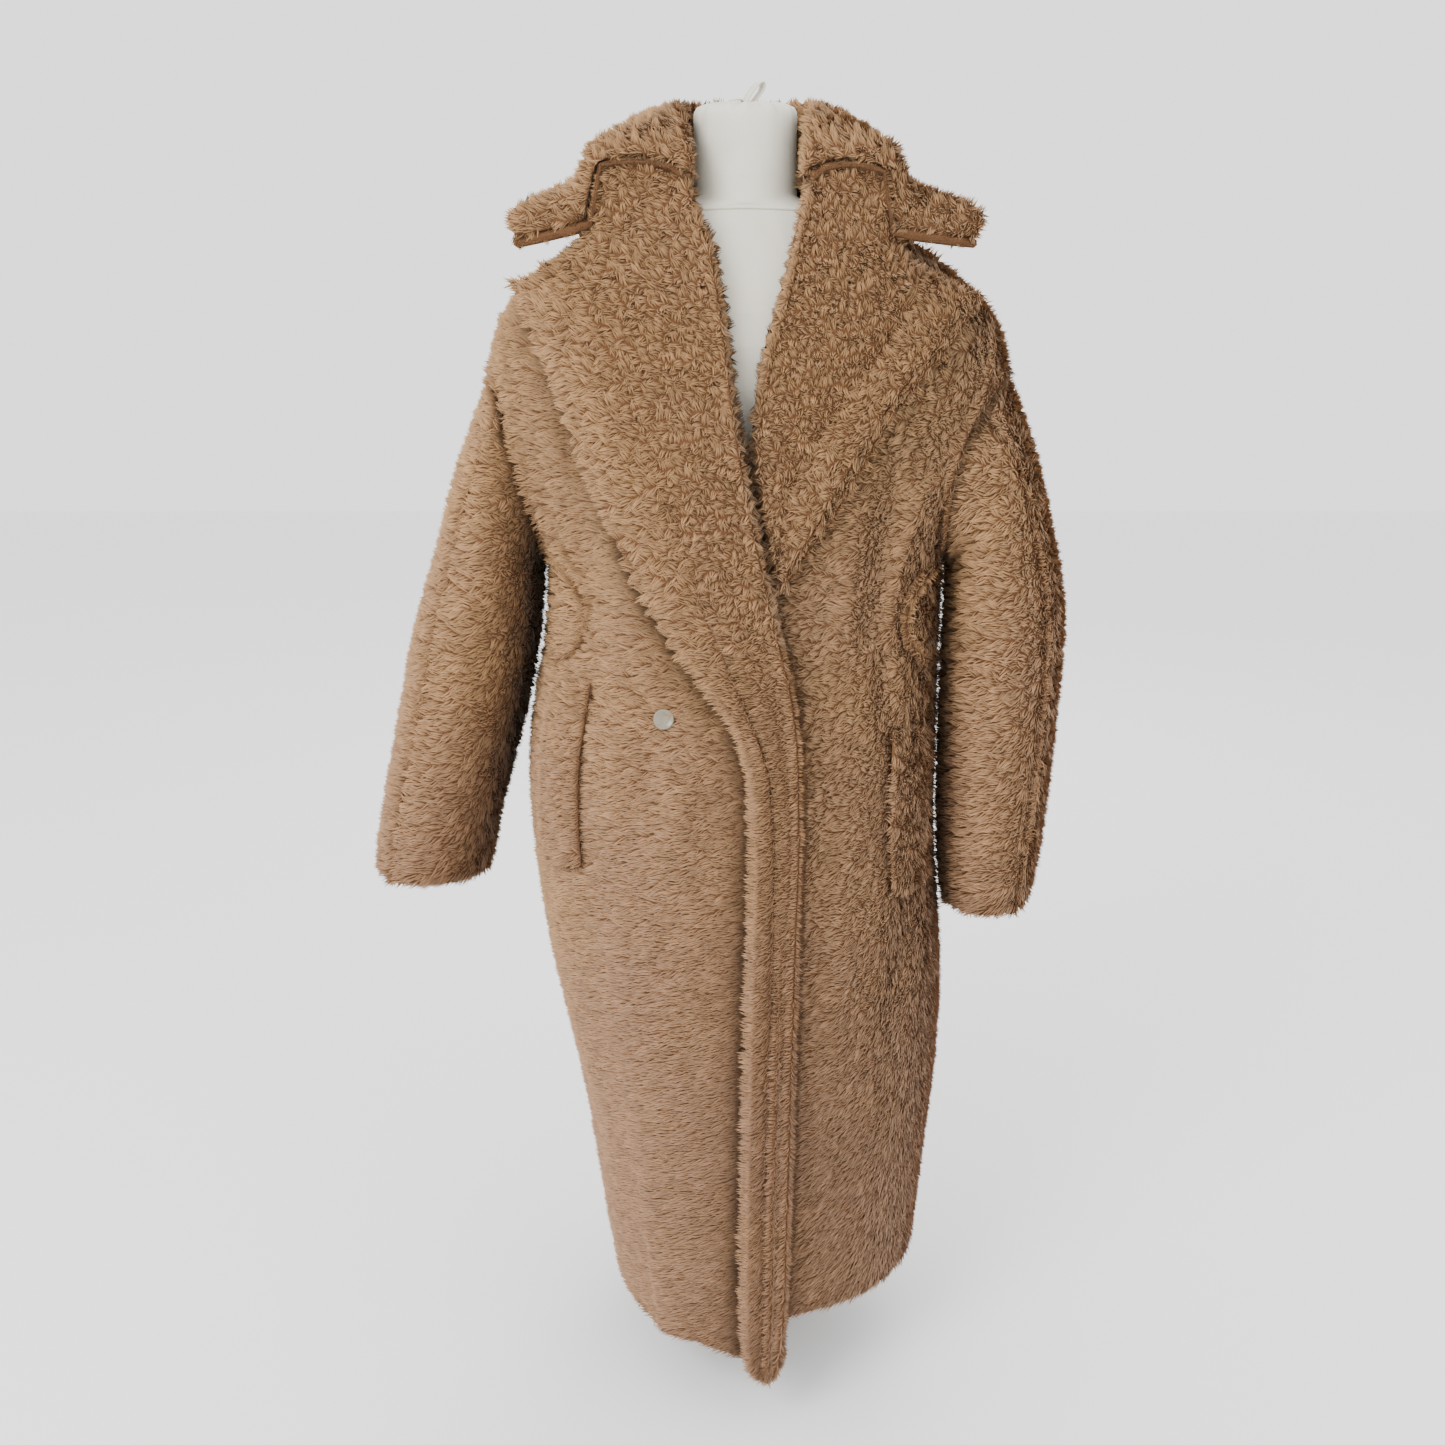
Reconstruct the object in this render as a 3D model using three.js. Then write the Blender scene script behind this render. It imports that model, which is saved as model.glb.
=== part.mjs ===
// A long faux fur coat with notched lapels, worn open at the neck on a limbless dress form with a stand.
// Millimetres. +Z is up, +X is the wearer's left, and the coat faces -Y.
// The origin is the centre of the stand's underside, on the floor.
import * as THREE from 'three';

const rad = THREE.MathUtils.degToRad;

// Driving sizes
const WALL = 13; // fur cloth with its pile, as a wall
const SEAM = 0.3; // clear space between two pieces sewn together
const LAP = 2; // clear space between two layers that lie on each other
const SHAPE = 2.3; // power of the rounded sections: 2 is an ellipse, more is boxier
const FORM_AHEAD = 30; // the form's middle lies this far in front of its pole
const NECK_TOP = 1281; // where the neckline of the panels ends, at the nape
const ARMHOLE = { top: 1098, bottom: 905, steps: 10 };
const SLEEVE_SEAMS = { front: 3, back: -4 }; // in armhole steps from the sleeve's outermost line
const FORM_REST = 2; // clear space between the form's shoulders and the coat on them
const FORM_HALF_SHOULDER = 182;

// Sections of the coat's outside. right and left are half widths, front and back are depths
const BODY = table(['z', 'right', 'left', 'front', 'back'], [
  [51, 139, 181, 202, 172], [120, 152, 200, 206, 176], [189, 162, 206, 208, 178], [255, 170, 211, 208, 179],
  [321, 181, 218, 206, 179], [385, 194, 221, 203, 178], [447, 207, 221, 199, 176], [509, 217, 217, 194, 173],
  [557, 223, 209, 190, 170], [628, 229, 206, 183, 165], [674, 230, 205, 178, 161], [737, 225, 205, 171, 156],
  [810, 210, 205, 162, 150], [860, 205, 206, 156, 145], [905, 204, 208, 151, 141], [950, 226, 226, 146, 136],
  [1000, 250, 245, 140, 131], [1050, 256, 257, 131, 127], [1098, 257, 266, 123, 122], [1130, 250, 258, 114, 116],
  [1160, 236, 242, 104, 108], [1180, 216, 220, 95, 101], [1200, 190, 192, 86, 94], [1225, 152, 152, 76, 84],
  [1245, 120, 120, 70, 77], [1262, 92, 92, 64, 70], [1281, 68, 68, 56, 62],
]);

// Where each front piece ends, across the chest and belly. fold is the rolled edge of the right front and
// under is the edge of the left front, which runs below it from the crossing at z 1040 down
const EDGES = table(['z', 'fold', 'under'], [
  [51, 42, -60], [217, 48, -70], [333, 50, -80], [443, 52, -80], [548, 54, -80], [649, 58, -80], [738, 55, -80],
  [796, 52, -75], [844, 39, -66], [891, 27, -50], [929, 18, -34], [1003, 2, 0], [1039, -4, 13], [1074, -9, 22],
  [1137, -17, 36], [1163, -21, 45], [1216, -29, 59], [1247, -43, 68], [1262, -52, 68], [1281, -43, 57],
]);
const TUCK = { belly: 12, chest: 14 }; // how far the panel stops short of the rolled edge that wraps it

// Lapel with its facing, and the strip along its free edge: rolled edge, seam and free edge
const LAPEL_COLUMNS = ['foldX', 'foldZ', 'seamX', 'seamZ', 'freeX', 'freeZ', 'thick'];
const RIGHT_LAPEL = table(LAPEL_COLUMNS, [
  [-52, 1265, -188, 1190, -226, 1176, 13], [-40, 1235, -166, 1157, -208, 1140, 13],
  [-28, 1205, -150, 1128, -190, 1104, 13], [-17, 1137, -126, 1079, -172, 1064, 13],
  [-9, 1075, -103, 1036, -152, 1012, 13], [-3, 1035, -82, 1000, -133, 970, 13],
  [5, 990, -67, 960, -110, 916, 13], [18, 929, -48, 905, -82, 866, 14],
  [32, 870, -26, 860, -54, 828, 15], [46, 815, -8, 815, -27, 793, 16],
  [55, 765, 12, 765, -6, 765, 17], [56, 718, 26, 718, 6, 718, 18],
  [58, 649, 31, 649, 7, 649, 18], [54, 548, 29, 548, 5, 548, 18],
  [52, 443, 27, 443, 2, 443, 18], [50, 333, 25, 333, 1, 333, 18],
  [48, 217, 23, 217, -1, 217, 18], [47, 117, 23, 110, 0, 117, 18],
  [38, 68, 22, 60, 6, 68, 16],
]);
const LEFT_LAPEL = table(LAPEL_COLUMNS, [
  [57, 1265, 172, 1180, 228, 1166, 13], [45, 1216, 152, 1142, 200, 1126, 13],
  [31, 1163, 130, 1116, 168, 1093, 13], [17, 1119, 102, 1084, 138, 1057, 13],
  [8, 1074, 72, 1040, 110, 1012, 13], [4, 1036, 50, 1003, 88, 975, 13],
  [11, 985, 38, 970, 67, 943, 13], [22, 935, 33, 930, 47, 920, 13],
  [30, 902, 33, 900, 37, 896, 12],
]);
// The lapel's top line stands above the chord from fold to seam, as an upright tab with a notch
const TAB = table(['share', 'out', 'up'], [
  [0, 0, 0], [0.18, 1, 33], [0.4, 6, 51], [0.58, 4, 61], [0.66, 4, 12], [0.8, 2, 7], [1, 0, 5],
]);
const TAB_ROWS = 3;

// Hem height against the turn round the body: 0 is the front, 90 the wearer's left, 180 the back
const HEM = {
  right: table(['turn', 'z'], [[-90, 86], [-50, 84], [-25, 92], [-12, 92], [0, 76], [12, 66]]),
  left: table(['turn', 'z'], [[-25, 112], [0, 116], [45, 118], [90, 118]]),
  back: table(['turn', 'z'], [[90, 114], [180, 104], [270, 88]]),
};
const HEM_FADES = 300; // above this the rows are level
const CREASES_END = { full: 1000, none: 1100 }; // heights between which the creases fade
const OUTLAP = { from: -42, to: -28, full: 1010, none: 1120 }; // turns and heights where the right front steps out
const STOOD_OFF = 60; // how far in front of the body's middle a layer lies at least
const HEM_LOWEST = 51; // the row that follows the hem

// Creases in the panels, as soft troughs and ridges between two places: turn in degrees and height
const FOLDS = table(['turnA', 'zA', 'turnB', 'zB', 'half', 'rise'], [
  [-52, 1010, -22, 800, 16, -7], [-40, 905, -20, 790, 14, 6], [-36, 806, -22, 765, 14, -6],
  [-48, 560, -40, 760, 16, 5], [62, 560, 40, 420, 22, -9], [50, 600, 30, 480, 22, 6],
  [44, 975, 38, 745, 14, 6], [-75, 420, -60, 180, 22, -6], [30, 330, 24, 130, 22, -5],
  [128, 880, 140, 420, 26, -8], [160, 760, 164, 300, 28, 7], [196, 820, 192, 330, 26, -7],
  [228, 860, 220, 420, 26, -8], [246, 500, 240, 180, 24, 6], [150, 1090, 168, 900, 20, -6],
  [212, 1090, 196, 900, 20, -6], [112, 420, 118, 160, 22, -6],
]);

// Side gussets: round-cornered pieces from the armhole down to low, half degrees to each side
const GUSSET = { half: 42, low: 805, steps: 6, corner: 0.6 };

// Sleeve sections: outermost and innermost lines, half depth and where the middle lies
const SLEEVE_COLUMNS = ['outX', 'outZ', 'inX', 'inZ', 'depth', 'middle'];
const SLEEVES = {
  right: table(SLEEVE_COLUMNS, [
    [276, 1045, 207, 896, 80, -3], [296, 990, 208.5, 880, 84, -5], [314, 925, 210, 855, 84, -6],
    [337, 860, 213, 822, 82, -7], [355, 795, 222.5, 772, 80, -8], [371, 718, 238, 705, 78, -10],
    [390, 638, 263, 625, 76, -12], [403, 565, 274, 558, 75, -14],
  ]),
  left: table(SLEEVE_COLUMNS, [
    [284, 1050, 211.5, 896, 83, -3], [303, 995, 211, 880, 86, -5], [318, 935, 210.5, 855, 86, -6],
    [336, 865, 209.5, 822, 84, -7], [337, 790, 209, 770, 82, -8], [333, 705, 209, 700, 80, -10],
    [328, 620, 210, 618, 78, -12], [316, 530, 217, 522, 75, -14],
  ]),
};
const GIRTH = 200; // one radian of turn, along the cloth
const CROWDED = rad(0.5); // least turn between two columns of a panel
const ARM_NARROW = { right: 0.9, left: 0.853 }; // width of the armhole's front edge, as a share of the section

// Collar, from a front end to the nape: foot of the stand, roll and outer edge of the fall. At the end the
// fall starts as the gorge seam on the lapel's top line, up to the notch, and then runs free to the outer edge
const COLLAR_COLUMNS = [
  'footX', 'footY', 'footZ', 'rollX', 'rollY', 'rollZ', 'edgeX', 'edgeY', 'edgeZ', 'bulge',
];
const COLLAR = table(COLLAR_COLUMNS, [
  [58, -52, 1277, 53, -68, 1272, 216, -62, 1212, 0], [59, -46, 1276, 54, -60, 1294, 225, -58, 1227, 1],
  [60, -36, 1281.8, 56, -49, 1312, 226, -50, 1241, 2], [60, -22, 1281.8, 60, -33, 1327, 196, -34, 1252, 5],
  [61.5, -4, 1281.8, 66, -10, 1337, 162, -10, 1256, 12], [60, 14, 1281.8, 71, 18, 1342, 150, 22, 1246, 18],
  [52, 34, 1281.8, 66, 46, 1344, 135, 62, 1230, 24], [32, 50, 1281.8, 42, 68, 1345, 84, 98, 1218, 24],
  [0, 55.5, 1281.8, 0, 76, 1345, 0, 114, 1212, 24],
]);

// Where the gorge seam ends on the lapel's top line, how many collar rows it shapes, and how far the roll of
// the collar stands above its start
const GORGE = { notch: 0.66, fades: 5.5, roll: 5 };

// Pocket welts: places of the four corners, as turn and height
const WELTS = {
  right: { outer: -60, inner: -42, top: 788, bottom: 602, slant: 10 },
  left: { outer: 63, inner: 42, top: 742, bottom: 576, slant: 8 },
};
const BUTTON = { x: -75, z: 774, radius: 10, thick: 5 };

// Dress form: half width, front and back below the shoulders. Above them it follows the coat's inside
const FORM = table(['z', 'half', 'front', 'back'], [
  [640, 148, 92, 104], [720, 158, 100, 114], [800, 140, 88, 98], [880, 122, 76, 82], [960, 134, 90, 88],
  [1040, 152, 108, 96], [1100, 164, 106, 100], [1150, 178, 92, 94],
]);
const NECK = { half: 51, round: 0.86, foot: 1257, top: 1338, crown: 1344 };
const STAND = { baseRadius: 92, baseThick: 12, poleRadius: 16 };

const fur = new THREE.MeshStandardMaterial({ color: 0xb08864, roughness: 0.95, metalness: 0 });
const linen = new THREE.MeshStandardMaterial({ color: 0xe6dcc8, roughness: 0.85, metalness: 0 });
const horn = new THREE.MeshStandardMaterial({ color: 0xd9cdbb, roughness: 0.3, metalness: 0 });
const enamel = new THREE.MeshStandardMaterial({ color: 0xe8e6e1, roughness: 0.45, metalness: 0 });

function table(columns, rows) {
  return rows.map((row) => Object.fromEntries(columns.map((name, i) => [name, row[i]])));
}

// A column of a table at a place along its first column, on a smooth curve through the rows
function along(rows, place, column) {
  const key = Object.keys(rows[0])[0];
  const last = rows.length - 1;
  if (place <= rows[0][key]) return rows[0][column];
  if (place >= rows[last][key]) return rows[last][column];
  const i = rows.findIndex((row) => row[key] >= place) - 1;
  const at = (k) => rows[Math.min(Math.max(k, 0), last)];
  const span = at(i + 1)[key] - at(i)[key];
  const share = (place - at(i)[key]) / span;
  const slope = (k) => {
    const wide = at(k + 1)[key] - at(k - 1)[key];
    return wide ? (at(k + 1)[column] - at(k - 1)[column]) / wide : 0;
  };
  return hermite(at(i)[column], at(i + 1)[column], slope(i) * span, slope(i + 1) * span, share);
}

// A column of a table at a row number that may lie between two rows
function between(rows, number, column) {
  const last = rows.length - 1;
  const i = Math.min(Math.floor(number), last - 1);
  const at = (k) => rows[Math.min(Math.max(k, 0), last)][column];
  const slope = (k) => (at(k + 1) - at(k - 1)) / 2;
  return hermite(at(i), at(i + 1), slope(i), slope(i + 1), number - i);
}

function hermite(from, to, slopeFrom, slopeTo, t) {
  const t2 = t * t;
  const t3 = t2 * t;
  return from * (2 * t3 - 3 * t2 + 1) + to * (3 * t2 - 2 * t3) + slopeFrom * (t3 - 2 * t2 + t) + slopeTo * (t3 - t2);
}

const ramp = (x, from, to) => THREE.MathUtils.smoothstep(x, Math.min(from, to), Math.max(from, to));
const rising = (x, from, to) => (from < to ? ramp(x, from, to) : 1 - ramp(x, from, to));
const rounded = (v) => Math.sign(v) * Math.abs(v) ** (2 / SHAPE);

// The coat's smooth outside at a height and a turn in radians
function section(z, turn) {
  const s = Math.sin(turn);
  const c = Math.cos(turn);
  const across = along(BODY, z, s < 0 ? 'right' : 'left');
  const deep = along(BODY, z, c > 0 ? 'front' : 'back');
  return new THREE.Vector3(across * rounded(s), -deep * rounded(c), z);
}

function sectionNormal(z, turn) {
  const step = 2;
  const nudge = 0.02;
  const up = section(Math.min(z + step, NECK_TOP), turn).sub(section(z - step, turn));
  const round = section(z, turn + nudge).sub(section(z, turn - nudge));
  return round.cross(up).normalize();
}

// Turn at which a section reaches x on its front side, or y on one side
const turnAtX = (z, x) =>
  Math.sign(x) * Math.asin(Math.min(Math.abs(x) / along(BODY, z, x < 0 ? 'right' : 'left'), 1) ** (SHAPE / 2));
const shortOfSide = (z) => (SEAM / 2 / along(BODY, z, 'front')) ** (SHAPE / 2);

// Height of the creases, in millimetres, from the distance to each one's line
function creases(z, turn) {
  let total = 0;
  for (const fold of FOLDS) {
    const a = [rad(fold.turnA) * GIRTH, fold.zA];
    const run = [rad(fold.turnB) * GIRTH - a[0], fold.zB - fold.zA];
    const length2 = run[0] ** 2 + run[1] ** 2;
    const from = [wrapped(turn) * GIRTH - a[0], z - a[1]];
    const share = THREE.MathUtils.clamp((from[0] * run[0] + from[1] * run[1]) / length2, 0, 1);
    const off = Math.hypot(from[0] - share * run[0], from[1] - share * run[1]);
    total += fold.rise * Math.exp(-((off / fold.half) ** 2)) * (0.35 + 0.65 * Math.sin(Math.PI * share));
  }
  return total * rising(z, CREASES_END.none, CREASES_END.full);
}

// The tables count turns from -90 to 270 degrees
function wrapped(turn) {
  const full = 2 * Math.PI;
  return ((((turn + Math.PI / 2) % full) + full) % full) - Math.PI / 2;
}

// How far the right front stands out where it lies on the left one
const outlap = (z, turn) =>
  (WALL + LAP) * rising(turn, rad(OUTLAP.from), rad(OUTLAP.to)) * rising(z, OUTLAP.none, OUTLAP.full);

// A point of a panel: lift is its outer face above the section's skin, and depth goes into the wall
function skin(z, turn, lift, depth) {
  return section(z, turn).addScaledVector(sectionNormal(z, turn), lift + creases(z, turn) - depth);
}

// A closed mesh between two faces of one grid. outer and inner give the points of a row and a column
function wall(name, rows, columns, outer, inner, material) {
  const points = [];
  for (const face of [outer, inner]) {
    for (let i = 0; i <= rows; i++) for (let j = 0; j <= columns; j++) points.push(...face(i, j).toArray());
  }
  const at = (side, i, j) => side * (rows + 1) * (columns + 1) + i * (columns + 1) + j;
  const index = [];
  const quad = (a, b, c, d) => index.push(a, b, c, a, c, d);
  for (let i = 0; i < rows; i++) {
    for (let j = 0; j < columns; j++) {
      quad(at(0, i, j), at(0, i, j + 1), at(0, i + 1, j + 1), at(0, i + 1, j));
      quad(at(1, i, j), at(1, i + 1, j), at(1, i + 1, j + 1), at(1, i, j + 1));
    }
    quad(at(0, i, 0), at(0, i + 1, 0), at(1, i + 1, 0), at(1, i, 0));
    quad(at(0, i, columns), at(1, i, columns), at(1, i + 1, columns), at(0, i + 1, columns));
  }
  for (let j = 0; j < columns; j++) {
    quad(at(0, 0, j), at(1, 0, j), at(1, 0, j + 1), at(0, 0, j + 1));
    quad(at(0, rows, j), at(0, rows, j + 1), at(1, rows, j + 1), at(1, rows, j));
  }
  return closed(name, points, index, material);
}

// Rings of points closed by a point at each end
function stack(name, rings, material) {
  const count = rings[0].length;
  const middle = (ring) => ring.reduce((sum, p) => sum.add(p), new THREE.Vector3()).divideScalar(count);
  const points = [...rings.flat(), middle(rings[0]), middle(rings.at(-1))].flatMap((p) => p.toArray());
  const last = rings.length - 1;
  const foot = count * rings.length;
  const index = [];
  for (let j = 0; j < count; j++) {
    const k = (j + 1) % count;
    for (let i = 0; i < last; i++) {
      const [a, b, c, d] = [i * count + j, i * count + k, (i + 1) * count + k, (i + 1) * count + j];
      index.push(a, b, c, a, c, d);
    }
    index.push(foot, k, j, foot + 1, last * count + j, last * count + k);
  }
  return closed(name, points, index, material);
}

// The mesh of a closed surface, turned so that its faces point out
function closed(name, points, index, material) {
  const p = (i) => new THREE.Vector3(...points.slice(3 * i, 3 * i + 3));
  let volume = 0;
  for (let i = 0; i < index.length; i += 3) volume += p(index[i]).dot(p(index[i + 1]).cross(p(index[i + 2])));
  if (volume < 0) for (let i = 0; i < index.length; i += 3) [index[i], index[i + 1]] = [index[i + 1], index[i]];
  const geometry = new THREE.BufferGeometry();
  geometry.setAttribute('position', new THREE.Float32BufferAttribute(points, 3));
  geometry.setIndex(index);
  const mesh = new THREE.Mesh(geometry, material);
  mesh.name = name;
  return mesh;
}

// Heights of the panel rows: even ones below, then those of the armhole's points, then the shoulder's
const armholeZ = (step) => {
  const middle = (ARMHOLE.top + ARMHOLE.bottom) / 2;
  return middle + ((ARMHOLE.top - ARMHOLE.bottom) / 2) * Math.cos((Math.PI * step) / ARMHOLE.steps);
};
const gussetZ = (step) => {
  const middle = (GUSSET.low + ARMHOLE.bottom) / 2;
  return middle - ((ARMHOLE.bottom - GUSSET.low) / 2) * Math.cos((Math.PI * step) / GUSSET.steps);
};
const gussetHalf = (z) => {
  const middle = (GUSSET.low + ARMHOLE.bottom) / 2;
  const height = Math.min(Math.abs((z - middle) / (ARMHOLE.bottom - middle)), 1);
  return rad(GUSSET.half) * Math.sin(Math.acos(height)) ** GUSSET.corner;
};
const LOW_ROWS = [HEM_LOWEST, 130, 210, 290, 365, 440, 515, 590, 660, 715, 765];
const SIDE_ROWS = Array.from({ length: GUSSET.steps }, (_, k) => gussetZ(k));
const ARM_ROWS = Array.from({ length: ARMHOLE.steps + 1 }, (_, k) => armholeZ(ARMHOLE.steps - k));
const TOP_ROWS = [1128, 1156, 1182, 1206, 1228, 1247, 1265, NECK_TOP];
const PANEL_ROWS = [...LOW_ROWS, ...SIDE_ROWS, ...ARM_ROWS, ...TOP_ROWS];

const rowHeight = (z, hem) => {
  if (z > HEM_FADES) return z;
  return THREE.MathUtils.mapLinear(z, HEM_LOWEST, HEM_FADES, hem, HEM_FADES);
};

// Turn of a panel's side edge, measured from the front on either side, as a positive angle
function sideTurn(z, side) {
  if (z > ARMHOLE.bottom && z < ARMHOLE.top - 0.01) return armholeTurn(z, side);
  const gusset = z > GUSSET.low && z < ARMHOLE.bottom ? gussetHalf(z) + SEAM / 2 / GIRTH : 0;
  return Math.PI / 2 - Math.max(gusset, shortOfSide(z));
}

function armholeTurn(z, side) {
  const middle = (ARMHOLE.top + ARMHOLE.bottom) / 2;
  const height = (z - middle) / (ARMHOLE.top - middle);
  const share = 1 - (1 - ARM_NARROW[side]) * (1 - Math.min(height ** 2, 1));
  return Math.asin(share ** (SHAPE / 2));
}

// A panel from one turn to another. even gives them without the gusset and the armhole: the columns stay at
// even turns past those, and the columns that they would cut off crowd along their edge
function panel(name, cut, even, hem, lift, columns) {
  const place = (i, j, depth) => {
    const z = PANEL_ROWS[i];
    const [from, to] = cut(z);
    const spread = THREE.MathUtils.lerp(...even(z), j / columns);
    const turn = THREE.MathUtils.clamp(spread, from + j * CROWDED, to - (columns - j) * CROWDED);
    const degrees = THREE.MathUtils.radToDeg(wrapped(turn));
    return skin(rowHeight(z, along(hem, degrees, 'z')), turn, lift(z, turn), depth);
  };
  return wall(name, PANEL_ROWS.length - 1, columns, (i, j) => place(i, j, 0), (i, j) => place(i, j, WALL), fur);
}

const flush = () => 0;
const sideSeam = (z) => Math.PI / 2 - shortOfSide(z);
const tuck = (z) => THREE.MathUtils.lerp(TUCK.belly, TUCK.chest, ramp(z, 735, 850));
const foldTurn = (z) => turnAtX(z, along(EDGES, z, 'fold') - tuck(z));
const underTurn = (z) => turnAtX(z, along(EDGES, z, 'under'));
const frontRight = panel(
  'front_right', (z) => [-sideTurn(z, 'right'), foldTurn(z)], (z) => [-sideSeam(z), foldTurn(z)],
  HEM.right, outlap, 13,
);
const frontLeft = panel(
  'front_left', (z) => [underTurn(z), sideTurn(z, 'left')], (z) => [underTurn(z), sideSeam(z)],
  HEM.left, flush, 12,
);
const back = panel(
  'back', (z) => [Math.PI - sideTurn(z, 'left'), Math.PI + sideTurn(z, 'right')],
  (z) => [Math.PI - sideSeam(z), Math.PI + sideSeam(z)], HEM.back, flush, 18,
);

function gusset(side) {
  const rows = SIDE_ROWS.slice(1);
  const middle = side === 'right' ? -Math.PI / 2 : Math.PI / 2;
  const columns = 8;
  const place = (i, j, depth) => {
    const half = gussetHalf(rows[i]) - SEAM / 2 / GIRTH;
    return skin(rows[i], middle + half * ((2 * j) / columns - 1), 0, depth);
  };
  return wall(`gusset_${side}`, rows.length - 1, columns, (i, j) => place(i, j, 0), (i, j) => place(i, j, WALL), fur);
}

// A sleeve's ring of points starts on the armhole and turns down to the cuff. Step 0 is its outermost line
function sleeveRing(side, row, step) {
  const sign = side === 'right' ? -1 : 1;
  const angle = (Math.PI * step) / ARMHOLE.steps;
  const ring = (number) => {
    const get = (column) => between(SLEEVES[side], number, column);
    const cos = Math.cos(angle);
    const x = (get('outX') + get('inX')) / 2 + ((get('outX') - get('inX')) / 2) * cos;
    const z = (get('outZ') + get('inZ')) / 2 + ((get('outZ') - get('inZ')) / 2) * cos;
    return new THREE.Vector3(sign * x, get('middle') - get('depth') * Math.sin(angle), z);
  };
  if (row >= 1) return ring(row - 1);
  const z = armholeZ(Math.abs(wrappedStep(step)));
  const turn = sign * armholeTurn(z, side);
  const mouth = skin(z, Math.sin(angle) >= 0 ? turn : Math.PI - turn, 0, 0);
  const clear = ring(0).sub(mouth).setLength(1.5 * SEAM);
  return mouth.add(clear).lerp(ring(0), row);
}

const wrappedStep = (step) => {
  const whole = 2 * ARMHOLE.steps;
  const s = ((step % whole) + whole) % whole;
  return s > ARMHOLE.steps ? s - whole : s;
};

const STEP_WIDTH = (Math.PI / ARMHOLE.steps) * 75; // one step of turn, along the sleeve's cloth
const SLEEVE_ROWS = [0, 0.5, 1, 1.5, 2, 2.6, 3.2, 3.8, 4.4, 5, 5.7, 6.4, 7.2, 8];

function sleevePoint(side, row, step, depth) {
  const place = sleeveRing(side, row, step);
  const around = sleeveRing(side, row, step + 0.1).sub(sleeveRing(side, row, step - 0.1));
  const down = sleeveRing(side, Math.min(row + 0.1, 8), step).sub(sleeveRing(side, Math.max(row - 0.1, 0), step));
  const out = around.cross(down).normalize();
  if (side === 'right') out.negate();
  return place.addScaledVector(out, -depth);
}

function sleeve(side, part, first, last) {
  const gap = SEAM / 2 / STEP_WIDTH;
  const columns = last - first;
  const step = (j) => first + gap + ((columns - 2 * gap) * j) / columns;
  const place = (i, j, depth) => sleevePoint(side, SLEEVE_ROWS[i], step(j), depth);
  return wall(
    `sleeve_${side}_${part}`, SLEEVE_ROWS.length - 1, columns,
    (i, j) => place(i, j, 0), (i, j) => place(i, j, WALL), fur,
  );
}

// Where the underside of a layer on the front lies: in front of the section at x and z, with the outlap
function frontLayer(x, z, onRight) {
  const side = x < 0 ? 'right' : 'left';
  const share = Math.min(Math.abs(x) / along(BODY, z, side), 0.93);
  const deep = along(BODY, z, 'front') * (1 - share ** SHAPE) ** (1 / SHAPE);
  const stood = (deep ** 4 + STOOD_OFF ** 4) ** 0.25;
  const lap = onRight ? outlap(z, turnAtX(z, x)) : 0;
  return -(stood + lap * 1.08 + LAP);
}

// How far a rounded edge falls back at a distance from it
const edgeRound = (distance, radius) =>
  distance < radius ? radius * (1 - Math.sqrt(1 - (1 - distance / radius) ** 2)) : 0;

// A point of the lapel or of its strip as seen from the front, at a row number and a share of the way across
function lapelSurface(rows, number, kind, share) {
  const get = (column) => between(rows, number, column);
  const fold = new THREE.Vector2(get('foldX'), get('foldZ'));
  const seam = new THREE.Vector2(get('seamX'), get('seamZ'));
  const free = new THREE.Vector2(get('freeX'), get('freeZ'));
  const outward = Math.sign(seam.x - fold.x);
  const fade = Math.max(0, 1 - number / TAB_ROWS) ** 2;
  const lifted = (s) => new THREE.Vector2(outward * along(TAB, s, 'out') * fade, along(TAB, s, 'up') * fade);
  if (kind === 'lapel') return fold.clone().lerp(seam, share).add(lifted(share));
  const end = new THREE.Vector2(0, 2 * fade);
  return seam.clone().lerp(free, share).add(lifted(1).lerp(end, share));
}

// Columns of the lapel: the first lie on the rolled edge, at millimetres from it, and the rest at shares of the
// way from it to the seam. Where the lapel is narrow they crowd between the rolled edge and the seam
const ROLL_PLACES = [0, 3, 7, 11];
const ROLL_LIMITS = { least: 0.08, most: 0.62 };
const LAPEL_SHARES = [0.18, 0.4, 0.58, 0.66, 0.8, 1];
const LAPEL_COUNT = ROLL_PLACES.length + LAPEL_SHARES.length - 1;
const STRIP_SHARES = [0, 0.16, 0.4, 0.66, 0.86, 1];
const ROUND = { edge: 8, seam: 4 }; // radii of the lapel's free edge and rolled edge, and beside its seam

function lapelShare(column, chord) {
  const lastRoll = ROLL_PLACES.length - 1;
  const { least, most } = ROLL_LIMITS;
  const rolled = THREE.MathUtils.clamp(ROLL_PLACES[lastRoll] / chord, least, most);
  if (column <= lastRoll) return (rolled * ROLL_PLACES[column]) / ROLL_PLACES[lastRoll];
  return THREE.MathUtils.mapLinear(LAPEL_SHARES[column - lastRoll - 1], least, 1, rolled, 1);
}

function lapelRows(rows) {
  const last = rows.length - 1;
  const numbers = [0, 0.35, 0.7, 1, 1.5, 2, 2.5];
  for (let n = 3; n < last; n += 0.75) numbers.push(n);
  numbers.push(last);
  return numbers;
}

// The lapel and facing: a wall on the front whose rolled edge wraps the edge of the panel below it. The left one
// does so down to the row where the right front covers it
const LEFT_WRAPS = 4.5;

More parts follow.
